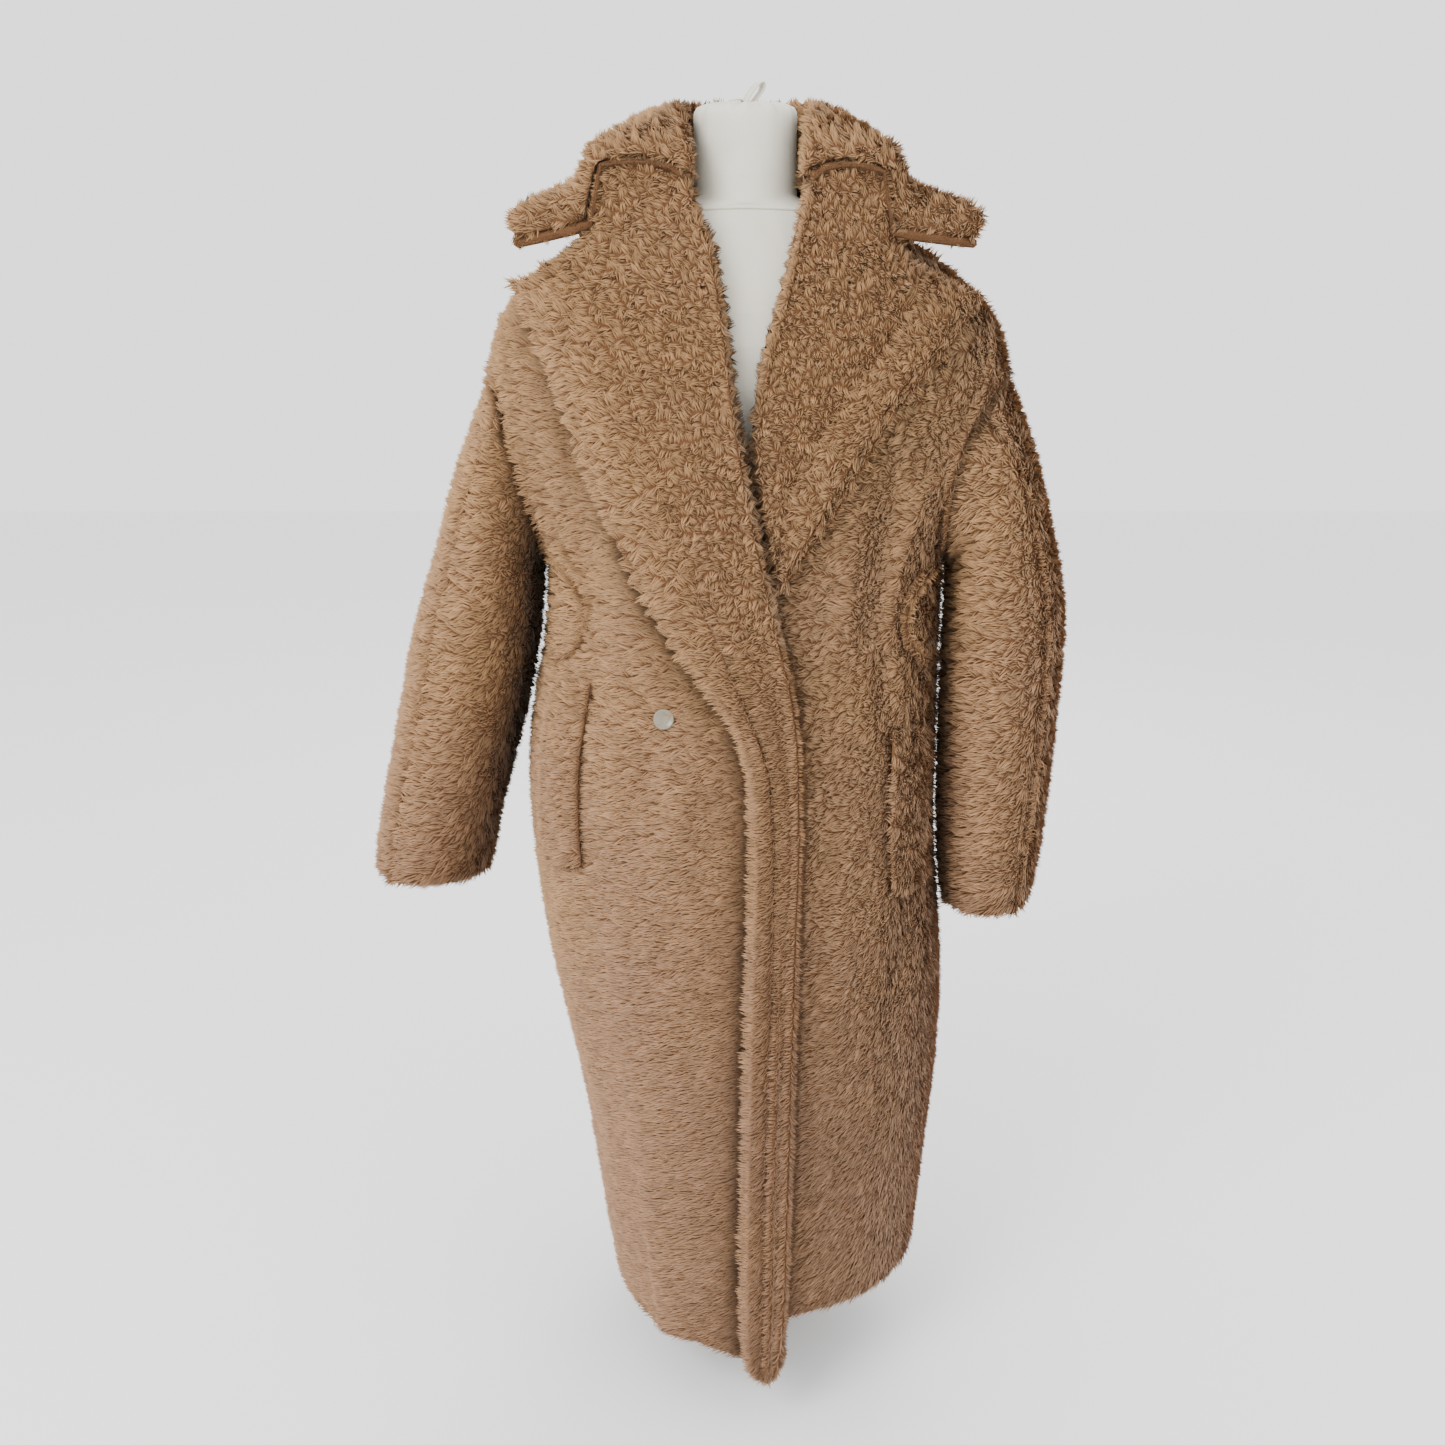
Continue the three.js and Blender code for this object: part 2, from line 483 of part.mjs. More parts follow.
function lapel(side, rows) {
  const onRight = side === 'right';
  const numbers = lapelRows(rows);
  const spot = (i, j) => {
    const width = between(rows, numbers[i], 'foldX') - between(rows, numbers[i], 'seamX');
    const chord = Math.hypot(width, between(rows, numbers[i], 'foldZ') - between(rows, numbers[i], 'seamZ'));
    const share = Math.min(lapelShare(j, chord), 1 - SEAM / 2 / chord);
    const at = lapelSurface(rows, numbers[i], 'lapel', share);
    return { at, fromFold: share * chord, toSeam: (1 - share) * chord };
  };
  const outer = (i, j) => {
    const { at, fromFold, toSeam } = spot(i, j);
    const thick = between(rows, numbers[i], 'thick');
    const y = frontLayer(at.x, at.y, onRight) - thick;
    return new THREE.Vector3(at.x, y + edgeRound(fromFold, ROUND.edge) + edgeRound(toSeam, ROUND.seam), at.y);
  };
  const inner = (i, j) => {
    const { at } = spot(i, j);
    const wraps = j < 2 && (onRight || numbers[i] < LEFT_WRAPS) ? WALL + 1.5 * LAP : 0;
    return new THREE.Vector3(at.x, frontLayer(at.x, at.y, onRight) + wraps, at.y);
  };
  return wall(`lapel_${side}`, numbers.length - 1, LAPEL_COUNT, outer, inner, fur);
}

function strip(side, rows) {
  const onRight = side === 'right';
  const numbers = lapelRows(rows);
  const spot = (i, j) => {
    const seamX = between(rows, numbers[i], 'seamX');
    const seamZ = between(rows, numbers[i], 'seamZ');
    const chord = Math.hypot(between(rows, numbers[i], 'freeX') - seamX, between(rows, numbers[i], 'freeZ') - seamZ);
    const share = Math.max(STRIP_SHARES[j], SEAM / chord);
    return { at: lapelSurface(rows, numbers[i], 'strip', share), chord, share };
  };
  const outer = (i, j) => {
    const { at, chord, share } = spot(i, j);
    const thick = between(rows, numbers[i], 'thick');
    const fall = edgeRound(share * chord, ROUND.seam) + edgeRound((1 - share) * chord, ROUND.edge);
    return new THREE.Vector3(at.x, frontLayer(at.x, at.y, onRight) - thick + fall, at.y);
  };
  const inner = (i, j) => {
    const { at } = spot(i, j);
    return new THREE.Vector3(at.x, frontLayer(at.x, at.y, onRight), at.y);
  };
  return wall(`edge_strip_${side}`, numbers.length - 1, STRIP_SHARES.length - 1, outer, inner, fur);
}

// The collar's middle surface. along runs from the right end, 0, to the left end, 16; across from the foot of
// the stand, 0, over the roll, 1, to the outer edge, 2
const STAND_SHARES = [0, 0.35, 0.7, 1];
const FALL_SHARES = [ROLL_LIMITS.least, ...LAPEL_SHARES];
const COLLAR_ENDS = 2 * (COLLAR.length - 1);

// The gorge seam: the lapel's top line moved out by the seam's clear space, in the middle of the lapel's thickness
function gorge(side, share) {
  const rows = side === 'right' ? RIGHT_LAPEL : LEFT_LAPEL;
  const shares = [0, ...FALL_SHARES];
  const k = shares.findIndex((value) => value > share - 0.001);
  const top = (i) => lapelSurface(rows, 0, 'lapel', shares[i]);
  const here = top(k);
  const after = top(k + 1).sub(here).normalize();
  const before = k > 0 ? here.clone().sub(top(k - 1)).normalize() : after;
  const away = before.clone().add(after).normalize();
  const out = new THREE.Vector2(-away.y, away.x);
  if (side === 'right') out.negate();
  here.addScaledVector(out, SEAM / away.dot(after));
  return new THREE.Vector3(here.x, frontLayer(here.x, here.y, side === 'right') - WALL / 2, here.y);
}

// How far the collar's end line is moved from its straight line to the gorge seam, or to the notch past that
function endShift(side, straight, share) {
  const { notch } = GORGE;
  if (share <= notch) return gorge(side, share).sub(straight(share));
  const free = THREE.MathUtils.mapLinear(share, notch, 1, 1, 0);
  return gorge(side, notch).sub(straight(notch)).multiplyScalar(free);
}

function collarMiddle(place, across) {
  const right = place <= COLLAR.length - 1;
  const number = right ? place : COLLAR_ENDS - place;
  const point = (line, row) => {
    const get = (axis) => between(COLLAR, row, line + axis);
    return new THREE.Vector3(right ? -get('X') : get('X'), get('Y'), get('Z'));
  };
  const [foot, roll, edge] = ['foot', 'roll', 'edge'].map((line) => point(line, number));
  const fade = Math.max(0, 1 - number / GORGE.fades);
  const straight = (share) => point('roll', 0).lerp(point('edge', 0), share);
  const shift = (share) => endShift(right ? 'right' : 'left', straight, share).multiplyScalar(fade);
  if (across <= 1) {
    const upright = foot.clone().setZ(THREE.MathUtils.lerp(foot.z, roll.z, 0.6));
    roll.add(shift(0)).setZ(roll.z + GORGE.roll * fade);
    return foot.lerp(upright, across).lerp(upright.lerp(roll, across), across);
  }
  const share = across - 1;
  const arch = Math.sin(Math.PI * Math.min(share * 1.15, 1)) * between(COLLAR, number, 'bulge');
  const out = new THREE.Vector3(roll.x + edge.x, roll.y + edge.y, 0).setZ(90).normalize();
  return roll.lerp(edge, share).addScaledVector(out, arch).add(shift(share));
}

function collar() {
  const places = [0, 0.4, 0.8, 1.3, 1.8, 2.4, 3, 3.7, 4.4, 5.2, 6, 7, 8];
  const all = [...places, ...places.slice(0, -1).reverse().map((p) => COLLAR_ENDS - p)];
  const acrosses = [...STAND_SHARES, ...FALL_SHARES.map((s) => 1 + s)];
  const [lastRow, lastColumn] = [all.length - 1, acrosses.length - 1];
  const grid = all.map((place) => acrosses.map((across) => collarMiddle(place, across)));
  const face = (i, j, side) => {
    const ends = (i === 0 || i === lastRow) && acrosses[j] > 1;
    const down = grid[i][Math.min(j + 1, lastColumn)].clone().sub(grid[i][Math.max(j - 1, 0)]);
    const round = grid[Math.min(i + 1, lastRow)][j].clone().sub(grid[Math.max(i - 1, 0)][j]);
    const out = ends ? new THREE.Vector3(0, -1, 0) : down.cross(round).normalize();
    return grid[i][j].clone().addScaledVector(out, (side * WALL) / 2);
  };
  return wall('collar', lastRow, lastColumn, (i, j) => face(i, j, 1), (i, j) => face(i, j, -1), fur);
}

// A welt lies on the front as a narrow pad with a rounded face
function welt(side) {
  const { outer, inner, top, bottom, slant } = WELTS[side];
  const [rows, columns] = [8, 4];
  const place = (i, j, height) => {
    const z = THREE.MathUtils.lerp(bottom, top, i / rows) + (slant * j) / columns;
    const turn = rad(THREE.MathUtils.lerp(outer, inner, j / columns));
    return skin(z, turn, height, 0);
  };
  const crown = (i, j) => LAP + 10 * Math.sin((Math.PI * (i + 0.5)) / (rows + 1)) ** 0.3 * [0.45, 0.9, 1, 0.9, 0.45][j];
  return wall(
    `pocket_welt_${side}`, rows, columns, (i, j) => place(i, j, crown(i, j)), (i, j) => place(i, j, LAP), fur,
  );
}

// A turned piece from its profile of radii and heights
function turned(profile, segments, material) {
  const points = profile.map(([radius, height]) => new THREE.Vector2(radius, height));
  return new THREE.Mesh(new THREE.LatheGeometry(points, segments), material);
}

function button() {
  const turn = turnAtX(BUTTON.z, BUTTON.x);
  const out = sectionNormal(BUTTON.z, turn);
  const { radius, thick } = BUTTON;
  const mesh = turned([
    [0, 0], [radius - 2, 0], [radius, 1.5], [radius, thick - 1.5], [radius - 1.5, thick],
    [radius - 3.5, thick - 1], [0, thick - 1],
  ], 24, horn);
  mesh.name = 'button';
  mesh.quaternion.setFromUnitVectors(new THREE.Vector3(0, 1, 0), out);
  mesh.position.copy(skin(BUTTON.z, turn, outlap(BUTTON.z, turn), 0));
  return mesh;
}

// The form: its own sections to the shoulders, then the coat's inside with the arms left off
function formRing(z, count) {
  const shoulder = FORM.at(-1).z;
  return Array.from({ length: count }, (_, k) => {
    const turn = (2 * Math.PI * k) / count;
    const coated = (height) => {
      const p = section(height, turn).addScaledVector(sectionNormal(height, turn), -(WALL + FORM_REST));
      p.x = THREE.MathUtils.clamp(p.x, -FORM_HALF_SHOULDER, FORM_HALF_SHOULDER);
      return p;
    };
    if (z > shoulder) return coated(z);
    const deep = along(FORM, z, Math.cos(turn) > 0 ? 'front' : 'back');
    const own = new THREE.Vector3(along(FORM, z, 'half') * Math.sin(turn), -deep * Math.cos(turn), z);
    const limit = coated(Math.max(z, ARMHOLE.top));
    own.x = Math.sign(own.x) * Math.min(Math.abs(own.x), FORM_HALF_SHOULDER);
    return own.lerp(limit.setZ(z), rising(z, 1060, shoulder) * 0.5);
  });
}

function neckRing(half, z, count) {
  return Array.from({ length: count }, (_, k) => {
    const turn = (2 * Math.PI * k) / count;
    return new THREE.Vector3(half * Math.sin(turn), -half * NECK.round * Math.cos(turn), z);
  });
}

const FORM_COUNT = 32; // points round the form

function formTorso() {
  const trunk = [640, 652, 690, 740, 800, 860, 920, 980, 1035, 1080, 1120, 1150];
  const shoulders = [1162, 1178, 1194, 1210, 1226, 1243, 1254];
  const rings = [...trunk, ...shoulders].map((z) => formRing(z, FORM_COUNT));
  const slope = [[64, 1250], [56, 1254], [NECK.half, NECK.foot]];
  const collarbone = slope.map(([half, z]) => neckRing(half, z, FORM_COUNT));
  return stack('form_torso', [...rings, ...collarbone], linen);
}

function formNeck() {
  const { half, foot, top, crown } = NECK;
  const outline = [
    [half, foot + SEAM], [half, top - 4], [half - 2, top], [half - 8, top + 3], [half - 22, top + 5], [11, crown],
  ];
  return stack('form_neck', outline.map(([radius, z]) => neckRing(radius, z, FORM_COUNT)), linen);
}

const coat = new THREE.Group();
coat.position.y = -FORM_AHEAD;
coat.add(frontRight, frontLeft, back, gusset('right'), gusset('left'));
for (const side of ['right', 'left']) {
  const whole = 2 * ARMHOLE.steps;
  coat.add(sleeve(side, 'upper', SLEEVE_SEAMS.back, SLEEVE_SEAMS.front));
  coat.add(sleeve(side, 'under', SLEEVE_SEAMS.front, SLEEVE_SEAMS.back + whole));
}
coat.add(lapel('right', RIGHT_LAPEL), strip('right', RIGHT_LAPEL));
coat.add(lapel('left', LEFT_LAPEL), strip('left', LEFT_LAPEL));
coat.add(collar(), welt('right'), welt('left'), button());
coat.add(formTorso(), formNeck());

const tie = new THREE.Mesh(new THREE.TorusGeometry(8, 1.6, 8, 20), linen);
tie.name = 'form_tie';
tie.rotation.x = Math.PI / 2;
tie.position.set(8, 0, NECK.crown + 9.6 + SEAM);
coat.add(tie);

const pole = new THREE.Mesh(new THREE.CylinderGeometry(STAND.poleRadius, STAND.poleRadius, 1, 24), enamel);
pole.name = 'stand_pole';
pole.rotation.x = Math.PI / 2;
const poleFoot = STAND.baseThick + SEAM;
const poleTop = FORM[0].z - SEAM;
pole.scale.y = poleTop - poleFoot;
pole.position.z = (poleFoot + poleTop) / 2;

const base = turned([
  [0, 0], [STAND.baseRadius, 0], [STAND.baseRadius, 5], [STAND.baseRadius - 5, 9], [40, STAND.baseThick],
  [0, STAND.baseThick],
], 48, enamel);
base.name = 'stand_base';
base.rotation.x = Math.PI / 2;

const model = new THREE.Group();
model.add(coat, pole, base);
export default model;
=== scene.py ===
# %% [markdown]
# # A faux fur coat on a dress form
# The coat is sewn from sixteen pieces of knitted cloth with a dense camel pile. It hangs open at the neck
# on a cream linen form, which stands on a plain pole and base. The solids give every piece its place and
# size. Here each piece gets its cloth, and then its pile, hair by hair, because pile is what one sees
# first.

# %% Load the solids and note their box
import math

import bmesh
import bpy
import numpy as np
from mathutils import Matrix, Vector
from mathutils.bvhtree import BVHTree
from mathutils.kdtree import KDTree


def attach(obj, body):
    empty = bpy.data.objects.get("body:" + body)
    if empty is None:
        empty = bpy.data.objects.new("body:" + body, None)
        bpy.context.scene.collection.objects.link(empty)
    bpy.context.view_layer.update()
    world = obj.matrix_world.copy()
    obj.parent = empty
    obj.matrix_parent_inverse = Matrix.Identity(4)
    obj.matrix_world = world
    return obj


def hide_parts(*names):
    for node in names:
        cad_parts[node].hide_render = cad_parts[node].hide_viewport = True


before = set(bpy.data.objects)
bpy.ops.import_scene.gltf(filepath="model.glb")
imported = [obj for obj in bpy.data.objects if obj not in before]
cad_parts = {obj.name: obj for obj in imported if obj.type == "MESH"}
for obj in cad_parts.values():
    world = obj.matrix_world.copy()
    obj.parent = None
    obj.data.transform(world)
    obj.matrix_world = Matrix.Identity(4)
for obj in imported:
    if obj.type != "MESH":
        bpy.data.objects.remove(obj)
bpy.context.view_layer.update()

MM = 0.001

# %% [markdown]
# ## The camera
# The photograph was taken from about the height of the chest, a step and a half away, tilted down. A
# camera so near makes the collar look wide and the hem narrow, so its distance matters as much as its
# angle.

# %% Camera
CAMERA_PLACE = (-0.022, -1.63, 1.2)
CAMERA_TILT = math.radians(73.3)
CAMERA_LENS = 38.57

camera_data = bpy.data.cameras.new("camera")
camera_data.lens = CAMERA_LENS
camera_data.sensor_width = 36.0
camera = bpy.data.objects.new("camera", camera_data)
camera.location = CAMERA_PLACE
camera.rotation_euler = (CAMERA_TILT, 0, 0)
bpy.context.collection.objects.link(camera)
bpy.context.scene.camera = camera
print("camera at", CAMERA_PLACE)

# %% [markdown]
# ## Helpers for node trees
# Materials and Geometry Nodes are both graphs. A few short helpers add a node with its settings and wire
# its inputs, so that the cells below read as a list of steps.


# %% Node helpers
def add_node(tree, kind, wires=None, **settings):
    """A new node. wires gives its inputs by name or number, as a value or as another node's output."""
    made = tree.nodes.new(kind)
    for name, value in settings.items():
        setattr(made, name, value)
    for key, value in (wires or {}).items():
        if isinstance(value, bpy.types.NodeSocket):
            tree.links.new(value, made.inputs[key])
        else:
            made.inputs[key].default_value = value
    return made


def reckon(tree, operation, first, second=0.0):
    """The output of a Math node, in either kind of tree."""
    return add_node(tree, "ShaderNodeMath", {0: first, 1: second}, operation=operation).outputs[0]


def scaled(tree, vector, factor):
    """The output of a Vector Math node that scales."""
    return add_node(tree, "ShaderNodeVectorMath", {0: vector, "Scale": factor}, operation="SCALE").outputs[0]


def new_material(name):
    """An empty material with a Principled shader and the object's own coordinates."""
    material = bpy.data.materials.new(name)
    material.use_nodes = True
    tree = material.node_tree
    shader = tree.nodes["Principled BSDF"]
    place = add_node(tree, "ShaderNodeTexCoord").outputs["Object"]
    return material, tree, shader, place


def blend_colours(tree, share, first, second, kind="MIX"):
    """The colour output of a Mix node."""
    mixed = add_node(tree, "ShaderNodeMix", {0: share, 6: first, 7: second}, data_type="RGBA", blend_type=kind)
    return mixed.outputs[2]


def of_vectors(tree, operation, first, second):
    """The outputs of a Vector Math node."""
    return add_node(tree, "ShaderNodeVectorMath", {0: first, 1: second}, operation=operation).outputs


def noise(tree, place, scale, detail=2.0, roughness=0.5):
    """The value of a noise texture."""
    wires = {"Vector": place, "Scale": scale, "Detail": detail, "Roughness": roughness}
    return add_node(tree, "ShaderNodeTexNoise", wires).outputs["Fac"]


def waves(tree, place, scale, direction):
    """The value of a slightly uneven wave texture, such as one set of threads gives."""
    wires = {"Vector": place, "Scale": scale, "Distortion": 1.4}
    return add_node(tree, "ShaderNodeTexWave", wires, bands_direction=direction).outputs["Fac"]


# %% [markdown]
# ## The pile's colour
# The pile is painted darker at its roots, where light doesn't reach, and paler at its tips: painted shade of
# the hairs over one another. The hairs carry three attributes: how far along the hair a point is, a random
# number for each lock, and how shut in the place is by other pieces, which paints shade into the pile in
# deep gaps. The body of the coat is a little greyer and pinker low down and more golden at the shoulders.

# %% Pile material
ROOT_SHADE_COLOUR = (0.115, 0.05, 0.02, 1)
LOW_COLOUR = (0.4, 0.235, 0.138, 1)
GOLD_COLOUR = (0.46, 0.27, 0.125, 1)
DARKEST_LOCK = 0.82
PALEST_LOCK = 1.2
SHADOW = 1.3
LEAST_LIGHT = 0.33


def pile_material():
    """Camel pile: dark at the root, pale at the tip, each lock a little different."""
    material, tree, shader, place = new_material("camel_pile")
    tip = add_node(tree, "ShaderNodeAttribute", attribute_name="tip").outputs["Fac"]
    tint = add_node(tree, "ShaderNodeAttribute", attribute_name="tint").outputs["Fac"]
    height = add_node(tree, "ShaderNodeSeparateXYZ", {0: place}).outputs["Z"]
    low = add_node(tree, "ShaderNodeMapRange", {"Value": height, 1: 0.25, 2: 1.15, 3: 0.0, 4: 1.0}).outputs[0]
    patches = reckon(tree, "MULTIPLY", reckon(tree, "SUBTRACT", noise(tree, place, 7.0, 3.0), 0.5), 1.6)
    # greyer and pinker low down, more golden higher up, in uneven patches
    golden_share = add_node(tree, "ShaderNodeClamp", {0: reckon(tree, "ADD", low, patches)}).outputs[0]
    tips = blend_colours(tree, golden_share, LOW_COLOUR, GOLD_COLOUR)
    # painted shade: the pile darkens from the tips of the hairs down to their roots
    colour = blend_colours(tree, reckon(tree, "POWER", tip, 0.62), ROOT_SHADE_COLOUR, tips)
    shade = add_node(tree, "ShaderNodeMapRange", {"Value": tint, 3: DARKEST_LOCK, 4: PALEST_LOCK}).outputs[0]
    # painted shade: shut_in darkens the pile in gaps and beside the lapels' edges, down to LEAST_LIGHT
    shut_in = add_node(tree, "ShaderNodeAttribute", attribute_name="shut_in").outputs["Fac"]
    dimming = reckon(tree, "MULTIPLY", shut_in, SHADOW)
    open_air = reckon(tree, "MAXIMUM", reckon(tree, "SUBTRACT", 1.0, dimming), LEAST_LIGHT)
    shade = reckon(tree, "MULTIPLY", shade, open_air)
    grey = add_node(tree, "ShaderNodeCombineColor", {0: shade, 1: shade, 2: shade}).outputs[0]
    colour = blend_colours(tree, 1.0, colour, grey, "MULTIPLY")
    tree.links.new(colour, shader.inputs["Base Color"])
    shader.inputs["Roughness"].default_value = 0.8
    shader.inputs["Specular IOR Level"].default_value = 0.2
    shader.inputs["Sheen Weight"].default_value = 0.12
    shader.inputs["Sheen Roughness"].default_value = 0.5
    shader.inputs["Sheen Tint"].default_value = (1.0, 0.86, 0.7, 1)
    return material


pile = pile_material()


# %% [markdown]
# ## The cloth under the pile
# Turned over, faux fur is a fine knit. It shows inside the neck, the cuffs and the hem. On the pile's
# side the same cloth is painted nearly dark, as painted shadow of the hairs that it lies under.

# %% Cloth material
def cloth_material():
    """Knitted backing, with painted shadow where pile grows on it."""
    material, tree, shader, place = new_material("knitted_backing")
    cover = add_node(tree, "ShaderNodeAttribute", attribute_name="cover").outputs["Fac"]
    knit = reckon(tree, "MULTIPLY", waves(tree, place, 160.0, "Z"), waves(tree, place, 130.0, "X"))
    inside = blend_colours(tree, knit, (0.15, 0.09, 0.05, 1), (0.25, 0.16, 0.1, 1))
    # painted shadow: under the pile the cloth is much darker than on its turned-over side
    colour = blend_colours(tree, cover, inside, (0.115, 0.055, 0.025, 1))
    bump = add_node(tree, "ShaderNodeBump", {"Strength": 0.5, "Distance": 0.0008, "Height": knit})
    tree.links.new(colour, shader.inputs["Base Color"])
    tree.links.new(bump.outputs[0], shader.inputs["Normal"])
    shader.inputs["Roughness"].default_value = 0.92
    shader.inputs["Specular IOR Level"].default_value = 0.1
    return material


cloth = cloth_material()

# %% [markdown]
# ## The coat's pieces
# Each piece starts as a copy of its solid. The solid's facets are made quads again, its rim is creased,
# and one or two steps of subdivision round it. Then its outside sinks a little, so that the pile, and not
# the cloth, reaches the solid's surface. hair, lock, long and wide are millimetres: the space between
# hairs, the space between locks, and a hair's length and width. lean is how far the pile lies down, turn
# how far a lock may stray from the way the pile is brushed, gather how closely a lock's hairs come
# together, and streak how far they do so sideways only.

# %% Sizes of each piece's cloth and pile
COLUMNS = ("levels", "axis", "brush", "hair", "lock", "long", "wide", "lean", "turn", "gather", "streak")
COAT = {
    "front_right": (2, "body", "down", 1.55, 6.5, 11.5, 2.1, 0.74, 30, 0.5, 0.85),
    "front_left": (2, "body", "down", 1.55, 6.5, 11.5, 2.1, 0.74, 30, 0.5, 0.85),
    "back": (1, "body", "down", 1.95, 7.5, 12.5, 2.6, 0.74, 30, 0.5, 0.85),
    "gusset_right": (1, "body", "down", 1.9, 7.0, 12, 2.5, 0.72, 30, 0.5, 0.8),
    "gusset_left": (1, "body", "down", 1.9, 7.0, 12, 2.5, 0.72, 30, 0.5, 0.8),
    "sleeve_right_upper": (1, "sleeve", "down", 1.75, 6.5, 11.5, 2.3, 0.7, 36, 0.55, 0.75),
    "sleeve_right_under": (1, "sleeve", "down", 1.8, 6.5, 11.5, 2.4, 0.7, 36, 0.55, 0.75),
    "sleeve_left_upper": (1, "sleeve", "down", 1.75, 6.5, 11.5, 2.3, 0.7, 36, 0.55, 0.75),
    "sleeve_left_under": (1, "sleeve", "down", 1.8, 6.5, 11.5, 2.4, 0.7, 36, 0.55, 0.75),
    "lapel_right": (1, "front", "parted", 1.5, 5.5, 9.5, 2.0, 0.5, 95, 0.6, 0.3),
    "lapel_left": (1, "front", "down", 1.5, 5.5, 9.0, 2.0, 0.48, 95, 0.6, 0.3),
    "edge_strip_right": (1, "front", "parted", 1.5, 5.5, 11.0, 2.0, 0.66, 60, 0.55, 0.6),
    "edge_strip_left": (1, "front", "down", 1.5, 5.5, 10.5, 2.0, 0.6, 60, 0.55, 0.4),
    "collar": (1, "all", "down", 1.6, 6.0, 10.0, 2.1, 0.55, 80, 0.6, 0.5),
    "pocket_welt_right": (1, "front", "down", 1.5, 5.5, 10.0, 2.0, 0.62, 36, 0.55, 0.7),
    "pocket_welt_left": (1, "front", "down", 1.5, 5.5, 10.0, 2.0, 0.62, 36, 0.55, 0.7),
}
COAT = {name: dict(zip(COLUMNS, row)) for name, row in COAT.items()}
BODY_AXIS_Y = -0.03
print("pieces of fur:", len(COAT))


# %% Make the cloth of one piece
def rounded_copy(node, levels):
    """A smooth closed shell with the shape of the node's solid."""
    soft = bmesh.new()
    soft.from_mesh(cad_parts[node].data)
    bmesh.ops.remove_doubles(soft, verts=soft.verts, dist=0.00002)
    bmesh.ops.join_triangles(
        soft, faces=soft.faces, angle_face_threshold=math.radians(35), angle_shape_threshold=math.radians(70),
    )
    crease = soft.edges.layers.float.new("crease_edge")
    for edge in soft.edges:
        if len(edge.link_faces) == 2 and edge.calc_face_angle() > math.radians(48):
            edge[crease] = 0.9
    mesh = bpy.data.meshes.new(node + "_cloth")
    soft.to_mesh(mesh)
    soft.free()
    shell = bpy.data.objects.new(node + "_cloth", mesh)
    bpy.context.collection.objects.link(shell)
    rounding = shell.modifiers.new("rounding", "SUBSURF")
    rounding.levels = levels
    rounding.render_levels = levels
    graph = bpy.context.evaluated_depsgraph_get()
    shell.data = bpy.data.meshes.new_from_object(shell.evaluated_get(graph))
    shell.modifiers.clear()
    shell.data.name = node + "_cloth"
    shell.data.shade_smooth()
    return shell


shells = {node: rounded_copy(node, row["levels"]) for node, row in COAT.items()}
print("cloth faces:", sum(len(shell.data.polygons) for shell in shells.values()))

# %% [markdown]
# ## Creases laid one by one
# The solids have the long folds. These are the smaller ones: the drag towards the button, the dents
# beside the armholes and the lengthwise furrows of the sleeves, with some like them at the back, which
# the photo doesn't show. Each runs between two places, x and z in millimetres, and fades at its ends.
# rise is out, or in if negative.

# %% Lay the creases
CREASES = {
    "front_right": [
        (-168, 1060, -150, 990, 11, -7.6), (-178, 930, -146, 900, 9, -7.6), (-165, 884, -128, 868, 8, -6.6),
        (-150, 850, -84, 792, 10, -7.6), (-128, 836, -84, 808, 8, 5.7), (-170, 800, -92, 772, 10, -5.7),
        (-130, 940, -104, 880, 12, 5.7), (-110, 640, -90, 740, 14, -6.6), (-50, 730, -62, 640, 12, 5.7),
    ],
    "front_left": [
        (150, 1010, 128, 850, 12, -8.5), (134, 850, 150, 740, 12, -7.6), (108, 960, 98, 820, 13, 5.7),
        (188, 590, 152, 440, 14, -7.6), (90, 700, 70, 560, 14, -5.7), (110, 560, 96, 420, 14, 5.7),
    ],
    "sleeve_right_upper": [
        (-245, 985, -236, 830, 12, -7.6), (-300, 900, -262, 872, 10, -5.7), (-318, 800, -270, 775, 11, -5.7),
        (-350, 700, -356, 580, 10, -8.5), (-290, 1010, -300, 930, 16, 5.7),
    ],
    "sleeve_left_upper": [
        (268, 910, 274, 580, 10, -8.5), (238, 985, 224, 840, 11, -7.6), (300, 840, 262, 812, 10, -5.7),
        (304, 700, 296, 600, 12, 5.7),
    ],
}
BACK_CREASES = {
    "back": [
        (-170, 1000, -120, 900, 16, -6), (170, 1000, 124, 900, 16, -6), (-60, 760, -40, 620, 18, -5.1),
        (90, 700, 100, 540, 18, -5.1), (20, 500, 14, 330, 18, 5.1),
    ],
    "sleeve_right_under": [(-300, 880, -250, 860, 11, -5.1), (-330, 760, -280, 742, 11, -5.1)],
    "sleeve_left_under": [(300, 880, 252, 860, 11, -5.1), (300, 740, 250, 728, 11, -5.1)],
}


def crease_at(place, rows):
    """How far out the creases of a table move a place, in metres."""
    total = 0.0
    for x1, z1, x2, z2, half, rise in rows:
        run = (x2 - x1, z2 - z1)
        off = (place.x / MM - x1, place.z / MM - z1)
        share = min(max((off[0] * run[0] + off[1] * run[1]) / (run[0] ** 2 + run[1] ** 2), 0), 1)
        away = math.hypot(off[0] - share * run[0], off[1] - share * run[1])
        total += rise * math.exp(-((away / half) ** 2)) * (0.4 + 0.6 * math.sin(math.pi * share))
    return total * MM


def lay_creases(tables, forwards):
    """Moves both sides of the cloth alike, in front of or behind the coat's middle."""
    for node, rows in tables.items():
        for spot in shells[node].data.vertices:
            ahead = BODY_AXIS_Y - spot.co.y
            if ahead * forwards > 0:
                fade = min(abs(ahead) / 0.03, 1.0)
                spot.co.y -= forwards * crease_at(spot.co, rows) * fade
        shells[node].data.update()


lay_creases(CREASES, 1)
lay_creases(BACK_CREASES, -1)
print("creases:", sum(len(rows) for rows in [*CREASES.values(), *BACK_CREASES.values()]))
